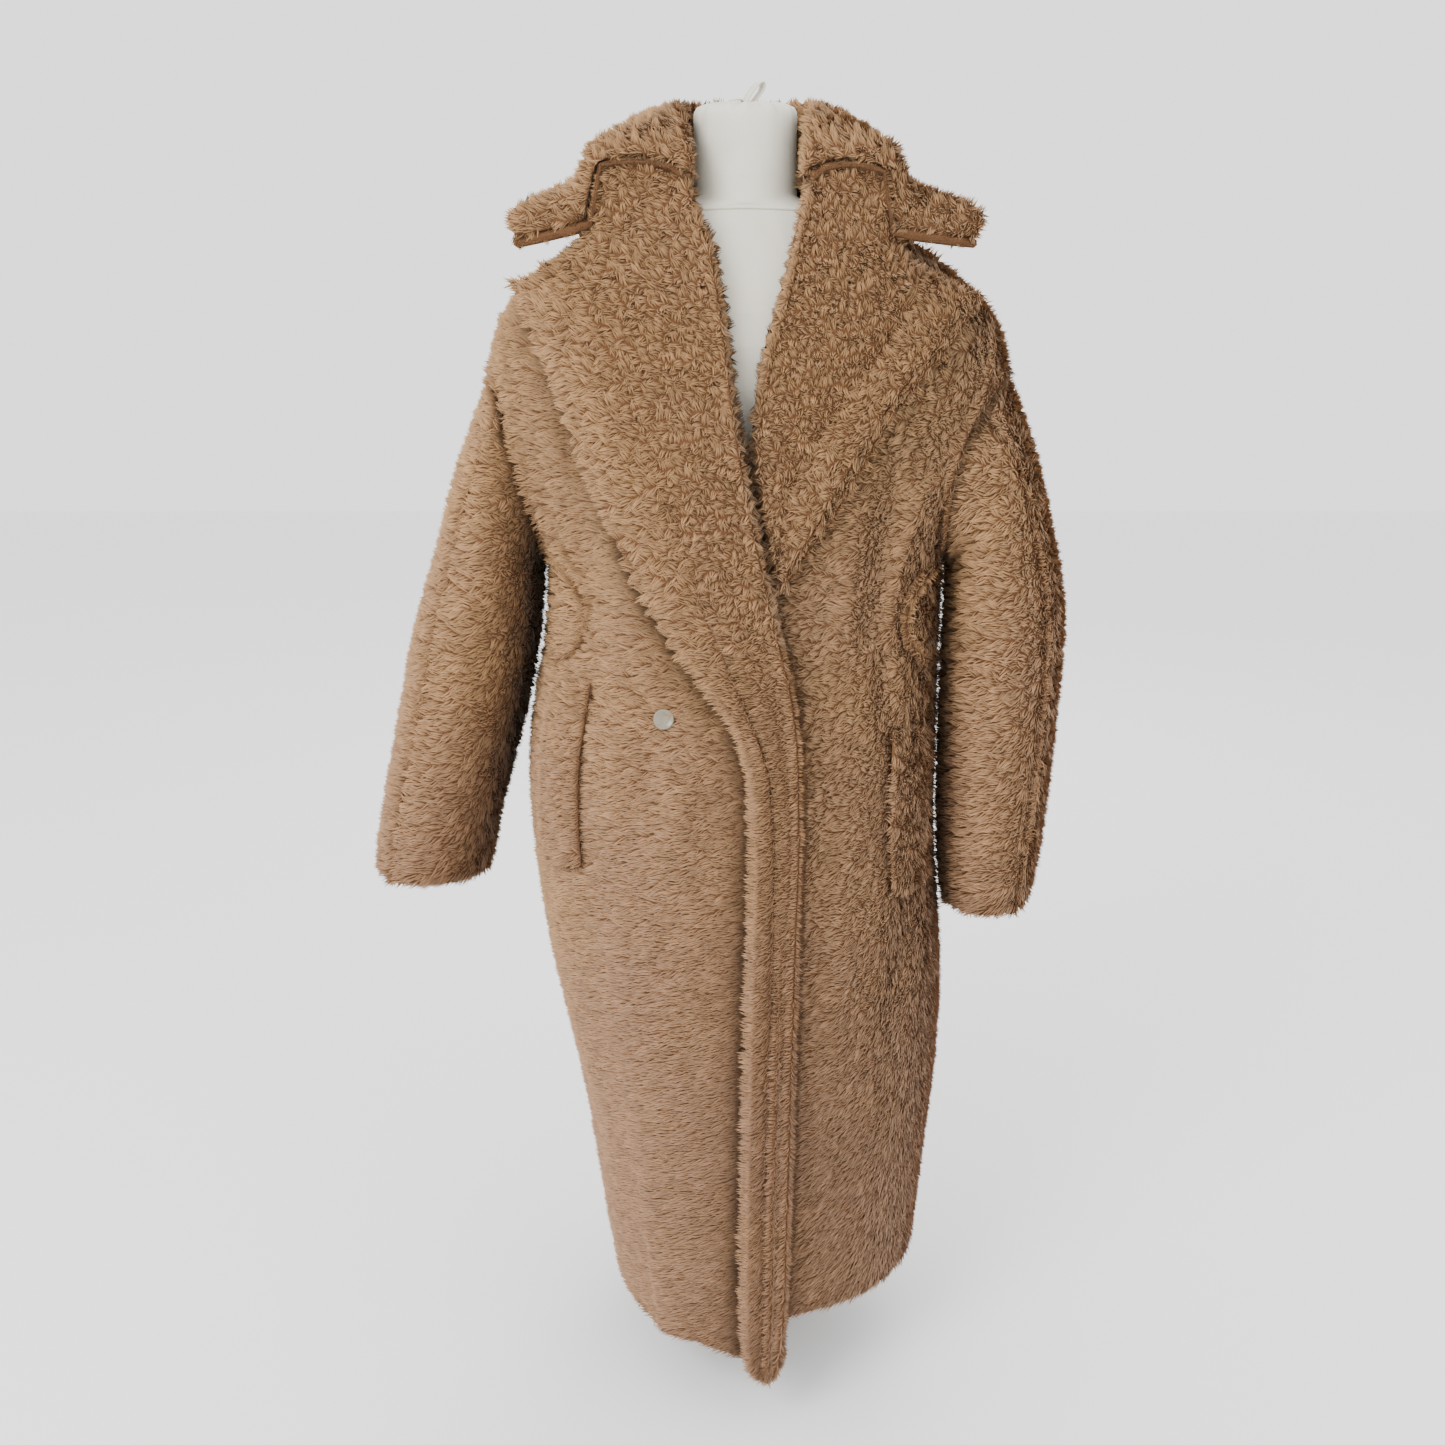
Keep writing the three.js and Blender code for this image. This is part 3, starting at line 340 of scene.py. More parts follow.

# %% [markdown]
# ## Where the pile grows and how it is brushed
# Pile grows on the outside of each piece and round its free edges, but not where another piece lies on it
# or is sewn to it. Short rays find out. Along a sewn edge the cloth is drawn in, which makes the soft
# groove that shows where a seam runs under the pile. The brush direction is stored on the points of the
# cloth: mostly down, aside near the front edge, outwards on the turned-back strips, and both ways out
# from the border's seam. So is how shut in each place is by the pieces around it, which is painted into
# the pile as shade in gaps and under the lapels' edges.

# %% The other solids around each piece
HIDDEN_WITHIN = 0.0045
SEWN_WITHIN = 0.0019
SMALL = ("pocket_welt_right", "pocket_welt_left", "button")
FURRED_RIMS = ("collar", "lapel_right", "lapel_left", "pocket_welt_right", "pocket_welt_left")


def tree_of(nodes):
    """The solids of some nodes, ready for rays."""
    points, faces = [], []
    for name in nodes:
        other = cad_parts[name]
        start = len(points)
        points.extend(v.co for v in other.data.vertices)
        faces.extend([start + i for i in face.vertices] for face in other.data.polygons)
    return BVHTree.FromPolygons(points, faces)


def covered(others, place, direction, reach):
    """Whether another piece's outside lies within reach in this direction."""
    hit = others.ray_cast(place, direction, reach)
    return hit[0] is not None and hit[1].dot(direction) < 0


def middle_line(nodes, low, high, step):
    """Points down the middle of some nodes, as rows of z, x and y."""
    corners = [v.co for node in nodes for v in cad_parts[node].data.vertices]
    spots = []
    for z in np.arange(low, high, step):
        near = [c for c in corners if abs(c.z - z) < step]
        xs = [c.x for c in near]
        ys = [c.y for c in near]
        spots.append((z, (min(xs) + max(xs)) / 2, (min(ys) + max(ys)) / 2))
    return np.array(spots)


def sleeve_middle(node):
    """The middle line of the sleeve that a piece belongs to."""
    side = node.split("_")[1]
    return middle_line([f"sleeve_{side}_upper", f"sleeve_{side}_under"], 0.6, 1.05, 0.04)


def outward(axis, place, normal, middle):
    """The direction from the inside of the piece to a place on it."""
    if axis == "body":
        return Vector((place.x, place.y - BODY_AXIS_Y, 0)).normalized()
    if axis == "sleeve":
        x = np.interp(place.z, middle[:, 0], middle[:, 1])
        y = np.interp(place.z, middle[:, 0], middle[:, 2])
        return Vector((place.x - x, place.y - y, 0)).normalized()
    if axis == "front":
        return Vector((0, -1, 0))
    return normal


# %% Sink the cloth
SINK = 3.5 * MM
FREE_EDGE = 4.5 * MM
SMALL_EDGE = 1.5 * MM
NEAR_WITHIN = 9 * MM
SEAM_REACH = 9 * MM
SEAM_DIP = 3.6 * MM
# other depths of a seam's groove, by the first word of the piece's name
SEAM_DIPS = {"lapel": 2.0 * MM, "edge": 2.0 * MM, "gusset": 0.0}
UNFOLD_ROUNDS = 6
TURNED_OVER = 0.4


def unfolded(mesh, places, facings):
    """Takes back half of the move, over and over, wherever a face of a narrow rim has turned over."""
    for _ in range(UNFOLD_ROUNDS):
        mesh.update()
        folded = [face for face in mesh.polygons if face.normal.dot(facings[face.index]) < TURNED_OVER]
        turned = {i for face in folded for i in face.vertices}
        for i in turned:
            mesh.vertices[i].co = mesh.vertices[i].co.lerp(places[i], 0.5)


def sink(axis, mesh, others, middle, edge, dip):
    """Moves the outside in, free edges back and sewn edges down, so that the pile ends where the solid does."""
    moved, faces_out, sewn = [], [], []
    places = [spot.co.copy() for spot in mesh.vertices]
    facings = [face.normal.copy() for face in mesh.polygons]
    for spot in mesh.vertices:
        normal = spot.normal.copy()
        out = outward(axis, spot.co, normal, middle)
        along = normal - out * normal.dot(out)
        place = spot.co.copy()
        faces_out.append(normal.dot(out) > 0.2)
        if faces_out[-1]:
            place -= out * SINK
        if along.length > 0.5:
            if others.find_nearest(spot.co, SEWN_WITHIN)[0] is not None:
                sewn.append(spot.co.copy())
            elif others.find_nearest(spot.co, NEAR_WITHIN)[0] is None:
                place -= along.normalized() * edge
        moved.append((place, out))
    seams = KDTree(len(sewn))
    for i, place in enumerate(sewn):
        seams.insert(place, i)
    seams.balance()
    for spot, (place, out), shows in zip(mesh.vertices, moved, faces_out):
        if shows and sewn:
            off = seams.find(spot.co)[2]
            place -= out * dip * math.exp(-((off / SEAM_REACH) ** 2))
        spot.co = place
    unfolded(mesh, places, facings)


# %% Brush the pile and mark where it grows
PARTED_BELOW = 0.87
STRIP_ASIDE = 1.3
# the seam between the right lapel and its strip, as height and x in metres: the pile parts along it
PARTING = np.array([
    (0.11, 0.023), (0.217, 0.023), (0.333, 0.025), (0.443, 0.027), (0.548, 0.029), (0.649, 0.031),
    (0.718, 0.026), (0.765, 0.012), (0.815, -0.008), (0.87, -0.03),
])


def brushed(node, row, place, normal):
    """Which way the pile is brushed at a place."""
    way = Vector((0, 0, -1))
    if node == "front_right":
        drag = 0.5 * math.exp(-((place.z - 0.62) / 0.2) ** 2)
        way.x -= drag + 0.25 * math.exp(-((place.x + 0.03) / 0.05) ** 2)
    if node == "front_left":
        way.x += 0.35 * math.exp(-((place.z - 0.6) / 0.25) ** 2)
    if node.startswith("edge_strip") and place.z > PARTED_BELOW:
        way.x += math.copysign(STRIP_ASIDE, place.x)
    if row["brush"] == "parted" and place.z < PARTED_BELOW:
        off = place.x - np.interp(place.z, PARTING[:, 0], PARTING[:, 1])
        way += Vector((1.2 * math.copysign(1, off), 0, 0.2))
    sway = math.sin(place.x * 23 + place.z * 9) + math.sin(place.z * 17 - place.x * 31 + 2)
    swirl = math.sin(place.x * 61 + place.y * 40 + place.z * 38)
    side = normal.cross(way).normalized()
    return (way + side * (0.14 * sway + 0.1 * swirl) + normal * 0.02).normalized()


def calmness(node, z):
    """How much less the locks stray: the pile is smooth low down, and on the border below the lapels."""
    calm = 0.8 * (1 - min(max((z - 0.3) / 0.5, 0), 1))
    if node in ("lapel_right", "edge_strip_right"):
        calm = 0.85 * (1 - min(max((z - 0.78) / 0.12, 0), 1))
    return calm


# pieces that go on in the same surface don't shade each other
SEWN_TO = {
    "front_right": ("gusset_right", "back"), "front_left": ("gusset_left", "back"),
    "back": ("front_right", "front_left", "gusset_right", "gusset_left"),
    "gusset_right": ("front_right", "back"), "gusset_left": ("front_left", "back"),
    "sleeve_right_upper": ("sleeve_right_under",), "sleeve_right_under": ("sleeve_right_upper",),
    "sleeve_left_upper": ("sleeve_left_under",), "sleeve_left_under": ("sleeve_left_upper",),
    "lapel_right": ("edge_strip_right", "front_right"), "edge_strip_right": ("lapel_right", "front_right"),
    "lapel_left": ("edge_strip_left", "front_left"), "edge_strip_left": ("lapel_left", "front_left"),
}
TURNED_BACK = ("edge_strip_right", "edge_strip_left", "lapel_right", "lapel_left", "collar")
# how far from the normal, how many rays at that angle
RAY_RINGS = ((0.0, 1), (35.0, 5), (62.0, 8))
SHADE_REACH = 0.05
RAY_START = 5.5 * MM


def nearness(others, place, normal):
    """How shut in a place is, from 0 in the open to 1, by rays to the other solids around it."""
    start = place + normal * RAY_START
    first = normal.orthogonal().normalized()
    second = normal.cross(first)
    met, most = 0.0, 0.0
    for degrees, count in RAY_RINGS:
        tilt = math.radians(degrees)
        for k in range(count):
            turn = math.tau * k / count
            sideways = first * math.cos(turn) + second * math.sin(turn)
            hit = others.ray_cast(start, normal * math.cos(tilt) + sideways * math.sin(tilt), SHADE_REACH)
            most += math.cos(tilt)
            if hit[0] is not None:
                met += math.cos(tilt) * (1 - hit[3] / SHADE_REACH)
    return met / most


# the shade beside the lapels' edges and further off: how strong it is, and its reach in metres
DEEP_SHADE = (0.34, 0.011)
FAINT_SHADE = (0.17, 0.06)


def under_edge(turned_back, place):
    """The shade that the lapels' edges throw on the fronts: deep beside them, and faint further off."""
    off = turned_back.find_nearest(place)[3]
    strength = min(max((place.z - 0.7) / 0.2, 0.3), 1.0)
    deep, faint = (power * math.exp(-off / reach) for power, reach in (DEEP_SHADE, FAINT_SHADE))
    return strength * (deep + faint)


def mark(node, row, shell):
    """Stores cover on the faces, and comb, calm and shut_in on the points. Returns the area with pile."""
    mesh = shell.data
    others = tree_of([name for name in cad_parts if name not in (node, *SMALL)])
    middle = sleeve_middle(node) if row["axis"] == "sleeve" else None
    dip = SEAM_DIPS.get(node.split("_")[0], SEAM_DIP)
    sink(row["axis"], mesh, others, middle, SMALL_EDGE if node in SMALL else FREE_EDGE, dip)
    shading = tree_of([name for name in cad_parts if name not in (node, *SMALL, *SEWN_TO.get(node, ()))])
    turned_back = tree_of(TURNED_BACK) if node.startswith("front") else None
    cover = mesh.attributes.new("cover", "FLOAT", "FACE")
    piled = 0.0
    for face in mesh.polygons:
        out = outward(row["axis"], face.center, face.normal, middle)
        shown = face.normal.dot(out) > -0.35
        if node not in FURRED_RIMS:
            top = face.center + face.normal * SINK
            shown = shown and not covered(others, top, face.normal, HIDDEN_WITHIN)
        cover.data[face.index].value = float(shown)
        piled += face.area * shown
    comb = mesh.attributes.new("comb", "FLOAT_VECTOR", "POINT")
    calm = mesh.attributes.new("calm", "FLOAT", "POINT")
    shut_in = mesh.attributes.new("shut_in", "FLOAT", "POINT")
    for spot in mesh.vertices:
        comb.data[spot.index].vector = brushed(node, row, spot.co, spot.normal)
        calm.data[spot.index].value = calmness(node, spot.co.z)
        # painted shade: how shut in the place is, plus the lapels' shadow on the fronts, stored to darken the
        # pile
        shade = nearness(shading, spot.co, spot.normal)
        if turned_back:
            shade += under_edge(turned_back, spot.co)
        shut_in.data[spot.index].value = shade
    return piled


for node, row in COAT.items():
    print(node, "has pile on", round(mark(node, row, shells[node]), 4), "m2")


# %% [markdown]
# ## Locks of pile
# A hair is a slim cone of three sides that leans the way the pile is brushed. The side that faces the
# cloth is never seen, so it is left out. Geometry Nodes scatter points on the cloth, no two nearer than
# the spacing, and stand a hair on each. A second, wider scatter gives the middles of locks. Each hair
# finds its nearest middle, takes that lock's own turn, size and tint, and bends its tip towards it.

# %% Tree of Geometry Nodes for the pile
PILE_INPUTS = ("Hair", "Lock", "Long", "Wide", "Lean", "Turn", "Gather", "Streak")


def leaning_hair(tree, given):
    """A hair at the origin that leans towards -X, with its share of the way to the tip as an attribute."""
    cone = add_node(tree, "GeometryNodeMeshCone", {
        "Vertices": 3, "Side Segments": 1, "Radius Top": 0.0, "Radius Bottom": 0.5, "Depth": 1.0,
    }, fill_type="NONE")
    spot = add_node(tree, "ShaderNodeSeparateXYZ", {0: add_node(tree, "GeometryNodeInputPosition").outputs[0]})
    marked = add_node(tree, "GeometryNodeStoreNamedAttribute", {
        "Geometry": cone.outputs["Mesh"], "Name": "tip", "Value": spot.outputs["Z"]}, data_type="FLOAT")
    beneath = reckon(tree, "LESS_THAN", spot.outputs["X"], -0.05)
    blade = add_node(tree, "GeometryNodeDeleteGeometry", {0: marked.outputs[0], 1: beneath}, domain="FACE")
    height = reckon(tree, "MULTIPLY", spot.outputs["Z"], given["Long"])
    upright = reckon(tree, "SUBTRACT", 1.1, reckon(tree, "MULTIPLY", given["Lean"], 0.85))
    leant = add_node(tree, "ShaderNodeCombineXYZ", {
        0: reckon(tree, "SUBTRACT", reckon(tree, "MULTIPLY", spot.outputs["X"], given["Wide"]),
                  reckon(tree, "MULTIPLY", height, given["Lean"])),
        1: reckon(tree, "MULTIPLY", spot.outputs["Y"], given["Wide"]),
        2: reckon(tree, "MULTIPLY", height, upright),
    })
    return add_node(tree, "GeometryNodeSetPosition",
                    {"Geometry": blade.outputs[0], "Position": leant.outputs[0]}).outputs[0]


def named(tree, name, kind):
    """The value of a named attribute."""
    return add_node(tree, "GeometryNodeInputNamedAttribute", {"Name": name}, data_type=kind).outputs[0]


def random_number(tree, low, high, seed):
    """A random number for each point, the same on every run."""
    picked = add_node(tree, "FunctionNodeRandomValue", {2: low, 3: high, "Seed": seed}, data_type="FLOAT")
    return picked.outputs[1]


def scattered(tree, given, spacing, seed):
    """Points on the cloth where pile grows, no two nearer than the spacing."""
    most = reckon(tree, "DIVIDE", 2.5, reckon(tree, "MULTIPLY", spacing, spacing))
    return add_node(tree, "GeometryNodeDistributePointsOnFaces", {
        "Mesh": given["Cloth"], "Distance Min": spacing, "Density Max": most,
        "Density Factor": named(tree, "cover", "FLOAT"), "Seed": seed,
    }, distribute_method="POISSON")


def of_lock(tree, middles, index, value, kind):
    """A value of the lock that a hair belongs to."""
    return add_node(tree, "GeometryNodeSampleIndex",
                    {"Geometry": middles, "Value": value, "Index": index}, data_type=kind).outputs[0]


def kept_as(tree, geometry, name, value, kind):
    """The instances with a value stored on each."""
    wires = {"Geometry": geometry, "Name": name, "Value": value}
    stored = add_node(tree, "GeometryNodeStoreNamedAttribute", wires, data_type=kind, domain="INSTANCE")
    return stored.outputs[0]


def pile_tree():
    """The whole tree, from cloth to pile."""
    tree = bpy.data.node_groups.new("pile_of_locks", "GeometryNodeTree")
    tree.interface.new_socket("Cloth", in_out="INPUT", socket_type="NodeSocketGeometry")
    for name in PILE_INPUTS:
        tree.interface.new_socket(name, in_out="INPUT", socket_type="NodeSocketFloat")
    tree.interface.new_socket("Seed", in_out="INPUT", socket_type="NodeSocketInt")
    tree.interface.new_socket("Finish", in_out="INPUT", socket_type="NodeSocketMaterial")
    tree.interface.new_socket("Pile", in_out="OUTPUT", socket_type="NodeSocketGeometry")
    given = add_node(tree, "NodeGroupInput").outputs
    roots = scattered(tree, given, given["Hair"], given["Seed"])
    lock_seed = reckon(tree, "ADD", given["Seed"], 100.0)
    middles = scattered(tree, given, given["Lock"], lock_seed).outputs["Points"]
    index = add_node(tree, "GeometryNodeSampleNearest", {"Geometry": middles}).outputs[0]
    here = add_node(tree, "GeometryNodeInputPosition").outputs[0]
    centre = of_lock(tree, middles, index, here, "FLOAT_VECTOR")
    lock_turn = of_lock(tree, middles, index, random_number(tree, -1.0, 1.0, 13), "FLOAT")
    lock_tint = of_lock(tree, middles, index, random_number(tree, 0.0, 1.0, 15), "FLOAT")
    lock_size = of_lock(tree, middles, index, random_number(tree, 0.82, 1.18, 16), "FLOAT")
    back = scaled(tree, named(tree, "comb", "FLOAT_VECTOR"), -1.0)
    stood = add_node(tree, "FunctionNodeAxesToRotation", {0: roots.outputs["Normal"], 1: back},
                     primary_axis="Z", secondary_axis="X").outputs[0]
    wild = reckon(tree, "MULTIPLY", given["Turn"], reckon(tree, "SUBTRACT", 1.0, named(tree, "calm", "FLOAT")))
    turn = reckon(tree, "ADD", reckon(tree, "MULTIPLY", lock_turn, wild), random_number(tree, -0.3, 0.3, 14))
    stray = add_node(tree, "ShaderNodeCombineXYZ", {
        0: random_number(tree, -0.15, 0.15, 11), 1: random_number(tree, -0.15, 0.15, 12), 2: turn})
    turned = add_node(tree, "FunctionNodeEulerToRotation", {0: stray.outputs[0]}).outputs[0]
    stood = add_node(tree, "FunctionNodeRotateRotation", {0: stood, 1: turned}, rotation_space="LOCAL")
    size = reckon(tree, "MULTIPLY", lock_size, random_number(tree, 0.78, 1.15, 17))
    hairs = add_node(tree, "GeometryNodeInstanceOnPoints", {
        "Points": roots.outputs["Points"], "Instance": leaning_hair(tree, given),
        "Rotation": stood.outputs[0], "Scale": size,
    }).outputs[0]
    towards = of_vectors(tree, "SUBTRACT", centre, here)[0]
    down = named(tree, "comb", "FLOAT_VECTOR")
    lengthwise = of_vectors(tree, "DOT_PRODUCT", towards, down)["Value"]
    lengthwise = scaled(tree, down, reckon(tree, "MULTIPLY", lengthwise, given["Streak"]))
    towards = of_vectors(tree, "SUBTRACT", towards, lengthwise)[0]
    loose = reckon(tree, "SUBTRACT", 1.0, reckon(tree, "MULTIPLY", named(tree, "calm", "FLOAT"), 0.7))
    gather = reckon(tree, "MULTIPLY", given["Gather"], loose)
    hairs = kept_as(tree, hairs, "pull", scaled(tree, towards, gather), "FLOAT_VECTOR")
    tint = reckon(tree, "ADD", reckon(tree, "MULTIPLY", lock_tint, 0.7), random_number(tree, 0.0, 0.3, 18))
    hairs = kept_as(tree, hairs, "tint", tint, "FLOAT")
    hairs = kept_as(tree, hairs, "shut_in", named(tree, "shut_in", "FLOAT"), "FLOAT")
    real = add_node(tree, "GeometryNodeRealizeInstances", {0: hairs}).outputs[0]
    bent = scaled(tree, named(tree, "pull", "FLOAT_VECTOR"), named(tree, "tip", "FLOAT"))
    real = add_node(tree, "GeometryNodeSetPosition", {"Geometry": real, "Offset": bent}).outputs[0]
    smooth = add_node(tree, "GeometryNodeSetShadeSmooth", {"Geometry": real}).outputs[0]
    done = add_node(tree, "GeometryNodeSetMaterial", {"Geometry": smooth, "Material": given["Finish"]})
    add_node(tree, "NodeGroupOutput", {0: done.outputs[0]})
    return tree


grow = pile_tree()


# %% Grow the pile on every piece
def pile_on(node, row, shell, seed):
    """The pile of one piece, as a plain mesh."""
    growth = bpy.data.objects.new(node + "_pile", shell.data.copy())
    bpy.context.collection.objects.link(growth)
    nodes = growth.modifiers.new("pile", "NODES")
    nodes.node_group = grow
    values = {
        "Hair": row["hair"] * MM, "Lock": row["lock"] * MM,
        "Long": row["long"] * MM, "Wide": row["wide"] * MM,
        "Lean": row["lean"], "Turn": math.radians(row["turn"]),
        "Gather": row["gather"], "Streak": row["streak"],
        "Seed": seed, "Finish": pile,
    }
    for socket in grow.interface.items_tree:
        if socket.in_out == "INPUT" and socket.name in values:
            nodes[socket.identifier] = values[socket.name]
    graph = bpy.context.evaluated_depsgraph_get()
    mesh = bpy.data.meshes.new_from_object(
        growth.evaluated_get(graph), preserve_all_data_layers=True, depsgraph=graph,
    )
    growth.modifiers.clear()
    growth.data = mesh
    mesh.name = node + "_pile"
    return growth


total = 0
piles = {}
for seed, (node, row) in enumerate(COAT.items(), start=1):
    piles[node] = pile_on(node, row, shells[node], seed)
    shells[node].data.materials.clear()
    shells[node].data.materials.append(cloth)
    count = sum(len(face.vertices) - 2 for face in piles[node].data.polygons)
    total += count
    area = sum(face.area for face in shells[node].data.polygons) / 2
    print(node, "hairs' triangles", count, "cloth", round(area, 4), "m2")
print("all hairs:", total)

# %% [markdown]
# ## The dress form and its stand
# The form is covered in cream linen. The neck is a cap of its own, gathered at the top, with a ribbon
# loop to carry it by and a piped seam at its foot. The stand is enamelled steel.


# %% Linen and enamel
def linen_material():
    """Cream plain-woven linen."""
    material, tree, shader, place = new_material("cream_linen")
    weave = reckon(tree, "MAXIMUM", waves(tree, place, 260.0, "X"), waves(tree, place, 260.0, "Z"))
    slubs = noise(tree, place, 26.0, 4.0)
    colour = blend_colours(tree, slubs, (0.6, 0.56, 0.46, 1), (0.72, 0.69, 0.6, 1))
    height = reckon(tree, "ADD", weave, slubs)
    bump = add_node(tree, "ShaderNodeBump", {"Strength": 0.3, "Distance": 0.0006, "Height": height})
    tree.links.new(colour, shader.inputs["Base Color"])
    tree.links.new(bump.outputs[0], shader.inputs["Normal"])
    shader.inputs["Roughness"].default_value = 0.85
    return material


def enamel_material():
    """Off-white satin enamel."""
    material, tree, shader, place = new_material("off_white_enamel")
    cloudy = noise(tree, place, 30.0, 3.0)
    colour = blend_colours(tree, cloudy, (0.66, 0.65, 0.62, 1), (0.72, 0.71, 0.69, 1))
    tree.links.new(colour, shader.inputs["Base Color"])
    shader.inputs["Roughness"].default_value = 0.4
    return material


def horn_material():
    """Pale translucent horn with faint streaks."""
    material, tree, shader, place = new_material("pale_horn")
    streaks = noise(tree, place, 160.0, 3.0)
    colour = blend_colours(tree, streaks, (0.2, 0.175, 0.12, 1), (0.36, 0.32, 0.24, 1))
    tree.links.new(colour, shader.inputs["Base Color"])
    shader.inputs["Roughness"].default_value = 0.18
    shader.inputs["Transmission Weight"].default_value = 0.3
    return material


linen = linen_material()
enamel = enamel_material()
horn = horn_material()
for node, finish in (("form_torso", linen), ("stand_pole", enamel), ("stand_base", enamel)):
    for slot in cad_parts[node].material_slots:
        slot.material = finish
    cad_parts[node].data.shade_smooth()


# %% Two ways to make a smooth piece
def new_piece(name, points, faces, finish):
    """A piece from its points and faces, turned so that its faces point out."""
    mesh = bpy.data.meshes.new(name)
    mesh.from_pydata([tuple(p) for p in points], [], faces)
    work = bmesh.new()
    work.from_mesh(mesh)
    bmesh.ops.recalc_face_normals(work, faces=work.faces)
    work.to_mesh(mesh)
    work.free()
    mesh.shade_smooth()
    mesh.materials.append(finish)
    piece = bpy.data.objects.new(name, mesh)
    bpy.context.collection.objects.link(piece)
    return piece


def stacked(name, rings, finish):
    """Rings of points closed by a point at each end."""
    count = len(rings[0])
    points = [p for ring in rings for p in ring]
    points += [sum(rings[0], Vector()) / count, sum(rings[-1], Vector()) / count]
    faces = []
    for k in range(count):
        after = (k + 1) % count
        for i in range(len(rings) - 1):
            low, top = i * count, (i + 1) * count
            faces.append((low + k, low + after, top + after, top + k))
        faces.append((k, after, len(points) - 2))
        faces.append(((len(rings) - 1) * count + k, (len(rings) - 1) * count + after, len(points) - 1))
    return new_piece(name, points, faces, finish)


def swept(name, line, acrosses, profile, ring, finish):
    """A profile of across and out offsets carried along a line of points. ring joins the line's two ends."""
    stations = []
    last = len(line) - 1
    for i, spot in enumerate(line):
        before = line[i - 1] if i or ring else spot
        after = line[(i + 1) % len(line)] if i < last or ring else spot
        out = (after - before).cross(acrosses[i]).normalized()
        stations.append([spot + acrosses[i] * u + out * v for u, v in profile])
    if not ring:
        return stacked(name, stations, finish)
    count = len(profile)
    faces = []
    for i in range(len(line)):
        follow = (i + 1) % len(line)
        for k in range(count):
            beside = (k + 1) % count
            faces.append((i * count + k, i * count + beside, follow * count + beside, follow * count + k))
    return new_piece(name, [p for station in stations for p in station], faces, finish)


# %% Piped seam round the foot of the neck
NECK_MIDDLE = Vector((0, BODY_AXIS_Y, 0))
PIPING_HEIGHT = 1.2425
PIPING_RISE = 0.0035
PIPING_RADIUS = 1.7 * MM
PIPING_STEPS = 96
torso_tree = BVHTree.FromObject(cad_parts["form_torso"], bpy.context.evaluated_depsgraph_get())


def on_torso(turn, height):
    """The place and the normal of the form's torso at a turn round it and a height, or none above it."""
    way = Vector((math.sin(turn), -math.cos(turn), 0))
    return torso_tree.ray_cast(NECK_MIDDLE + way * 0.4 + Vector((0, 0, height)), -way)[:2]


def piping_height(turn):
    """The seam rises a little towards the front."""
    return PIPING_HEIGHT + PIPING_RISE * max(math.cos(turn), 0) ** 2


def piping_place(turn):
    """Where the piping lies on the form, and the direction across it, which is up the form."""
    spot, normal = on_torso(turn, piping_height(turn))
    return spot + normal * 0.3 * MM, (Vector((0, 0, 1)) - normal * normal.z).normalized()


places = [piping_place(math.tau * k / PIPING_STEPS) for k in range(PIPING_STEPS)]
cord_round = [(PIPING_RADIUS * math.cos(math.tau * k / 8), PIPING_RADIUS * math.sin(math.tau * k / 8))
              for k in range(8)]
piping = swept("neck_piping", [p for p, _ in places], [a for _, a in places], cord_round, True, linen)

# %% Neck cap with its gathers
NECK_HALF = 51 * MM
NECK_ROUND = 0.86
NECK_CROWN = 1343 * MM
FLARE_TOP = 1.292
FLARE = 8 * MM
CAP_CLEAR = 0.5 * MM
NECK_SIDES = 104
GATHERS = 13
GATHER_DEPTH = 2.2 * MM
# share of the half width, height below the crown, depth of the gathers
NECK_PROFILE = [
    (0.992, 0.054, 0.0), (0.98, 0.036, 0.08), (0.98, 0.02, 0.2), (0.985, 0.0135, 0.35), (0.965, 0.0085, 0.6),
    (0.91, 0.0048, 0.9), (0.8, 0.0028, 1.0), (0.64, 0.0018, 1.0), (0.46, 0.0012, 0.9), (0.3, 0.0008, 0.8),
    (0.16, 0.0002, 0.5), (0.07, -0.0012, 0.2),
]


def from_middle(place):
    """How far a place is from the neck's upright axis."""
    return (place.xy - NECK_MIDDLE.xy).length


def foot_ring(share):
    """One ring of the cap's foot, from the piping, share 0, up to where the neck is straight, share 1."""
    ring = []
    for k in range(NECK_SIDES):
        turn = math.tau * k / NECK_SIDES
        foot = piping_height(turn)
        z = foot + (FLARE_TOP - foot) * share
        reach = NECK_HALF + FLARE * max(math.cos(turn), 0) ** 2 * (1 - share) ** 2
        place = NECK_MIDDLE + Vector((reach * math.sin(turn), -reach * NECK_ROUND * math.cos(turn), z))
        spot, normal = on_torso(turn, z)
        if spot is not None and from_middle(spot) > from_middle(place) - CAP_CLEAR:
            place = spot + normal * CAP_CLEAR
        ring.append(place)
    return ring


def neck_ring(share, below, depth):
    """One ring of the cap. The gathers are uneven waves that run up the cap and over its top."""
    ring = []
    for k in range(NECK_SIDES):
        turn = math.tau * k / NECK_SIDES
        wave = math.sin(GATHERS * turn + 1.4 * math.sin(2 * turn + 1)) + 0.5 * math.sin(23 * turn + 2)
        fold = GATHER_DEPTH * depth * wave
        half = NECK_HALF * share + fold * (0.35 if below > 0.004 else 0.0)
        rise = fold * 0.5 if below <= 0.0085 else 0.0
        ring.append(NECK_MIDDLE + Vector((
            half * math.sin(turn), -half * NECK_ROUND * math.cos(turn), NECK_CROWN - below + rise)))
    return ring


FOOT_SHARES = (0, 0.04, 0.09, 0.15, 0.22, 0.31, 0.43, 0.6, 0.8)
neck_rings = [foot_ring(share) for share in FOOT_SHARES] + [neck_ring(*row) for row in NECK_PROFILE]
neck_cap = stacked("neck_cap", neck_rings, linen)
print("neck cap", NECK_SIDES, "points round")

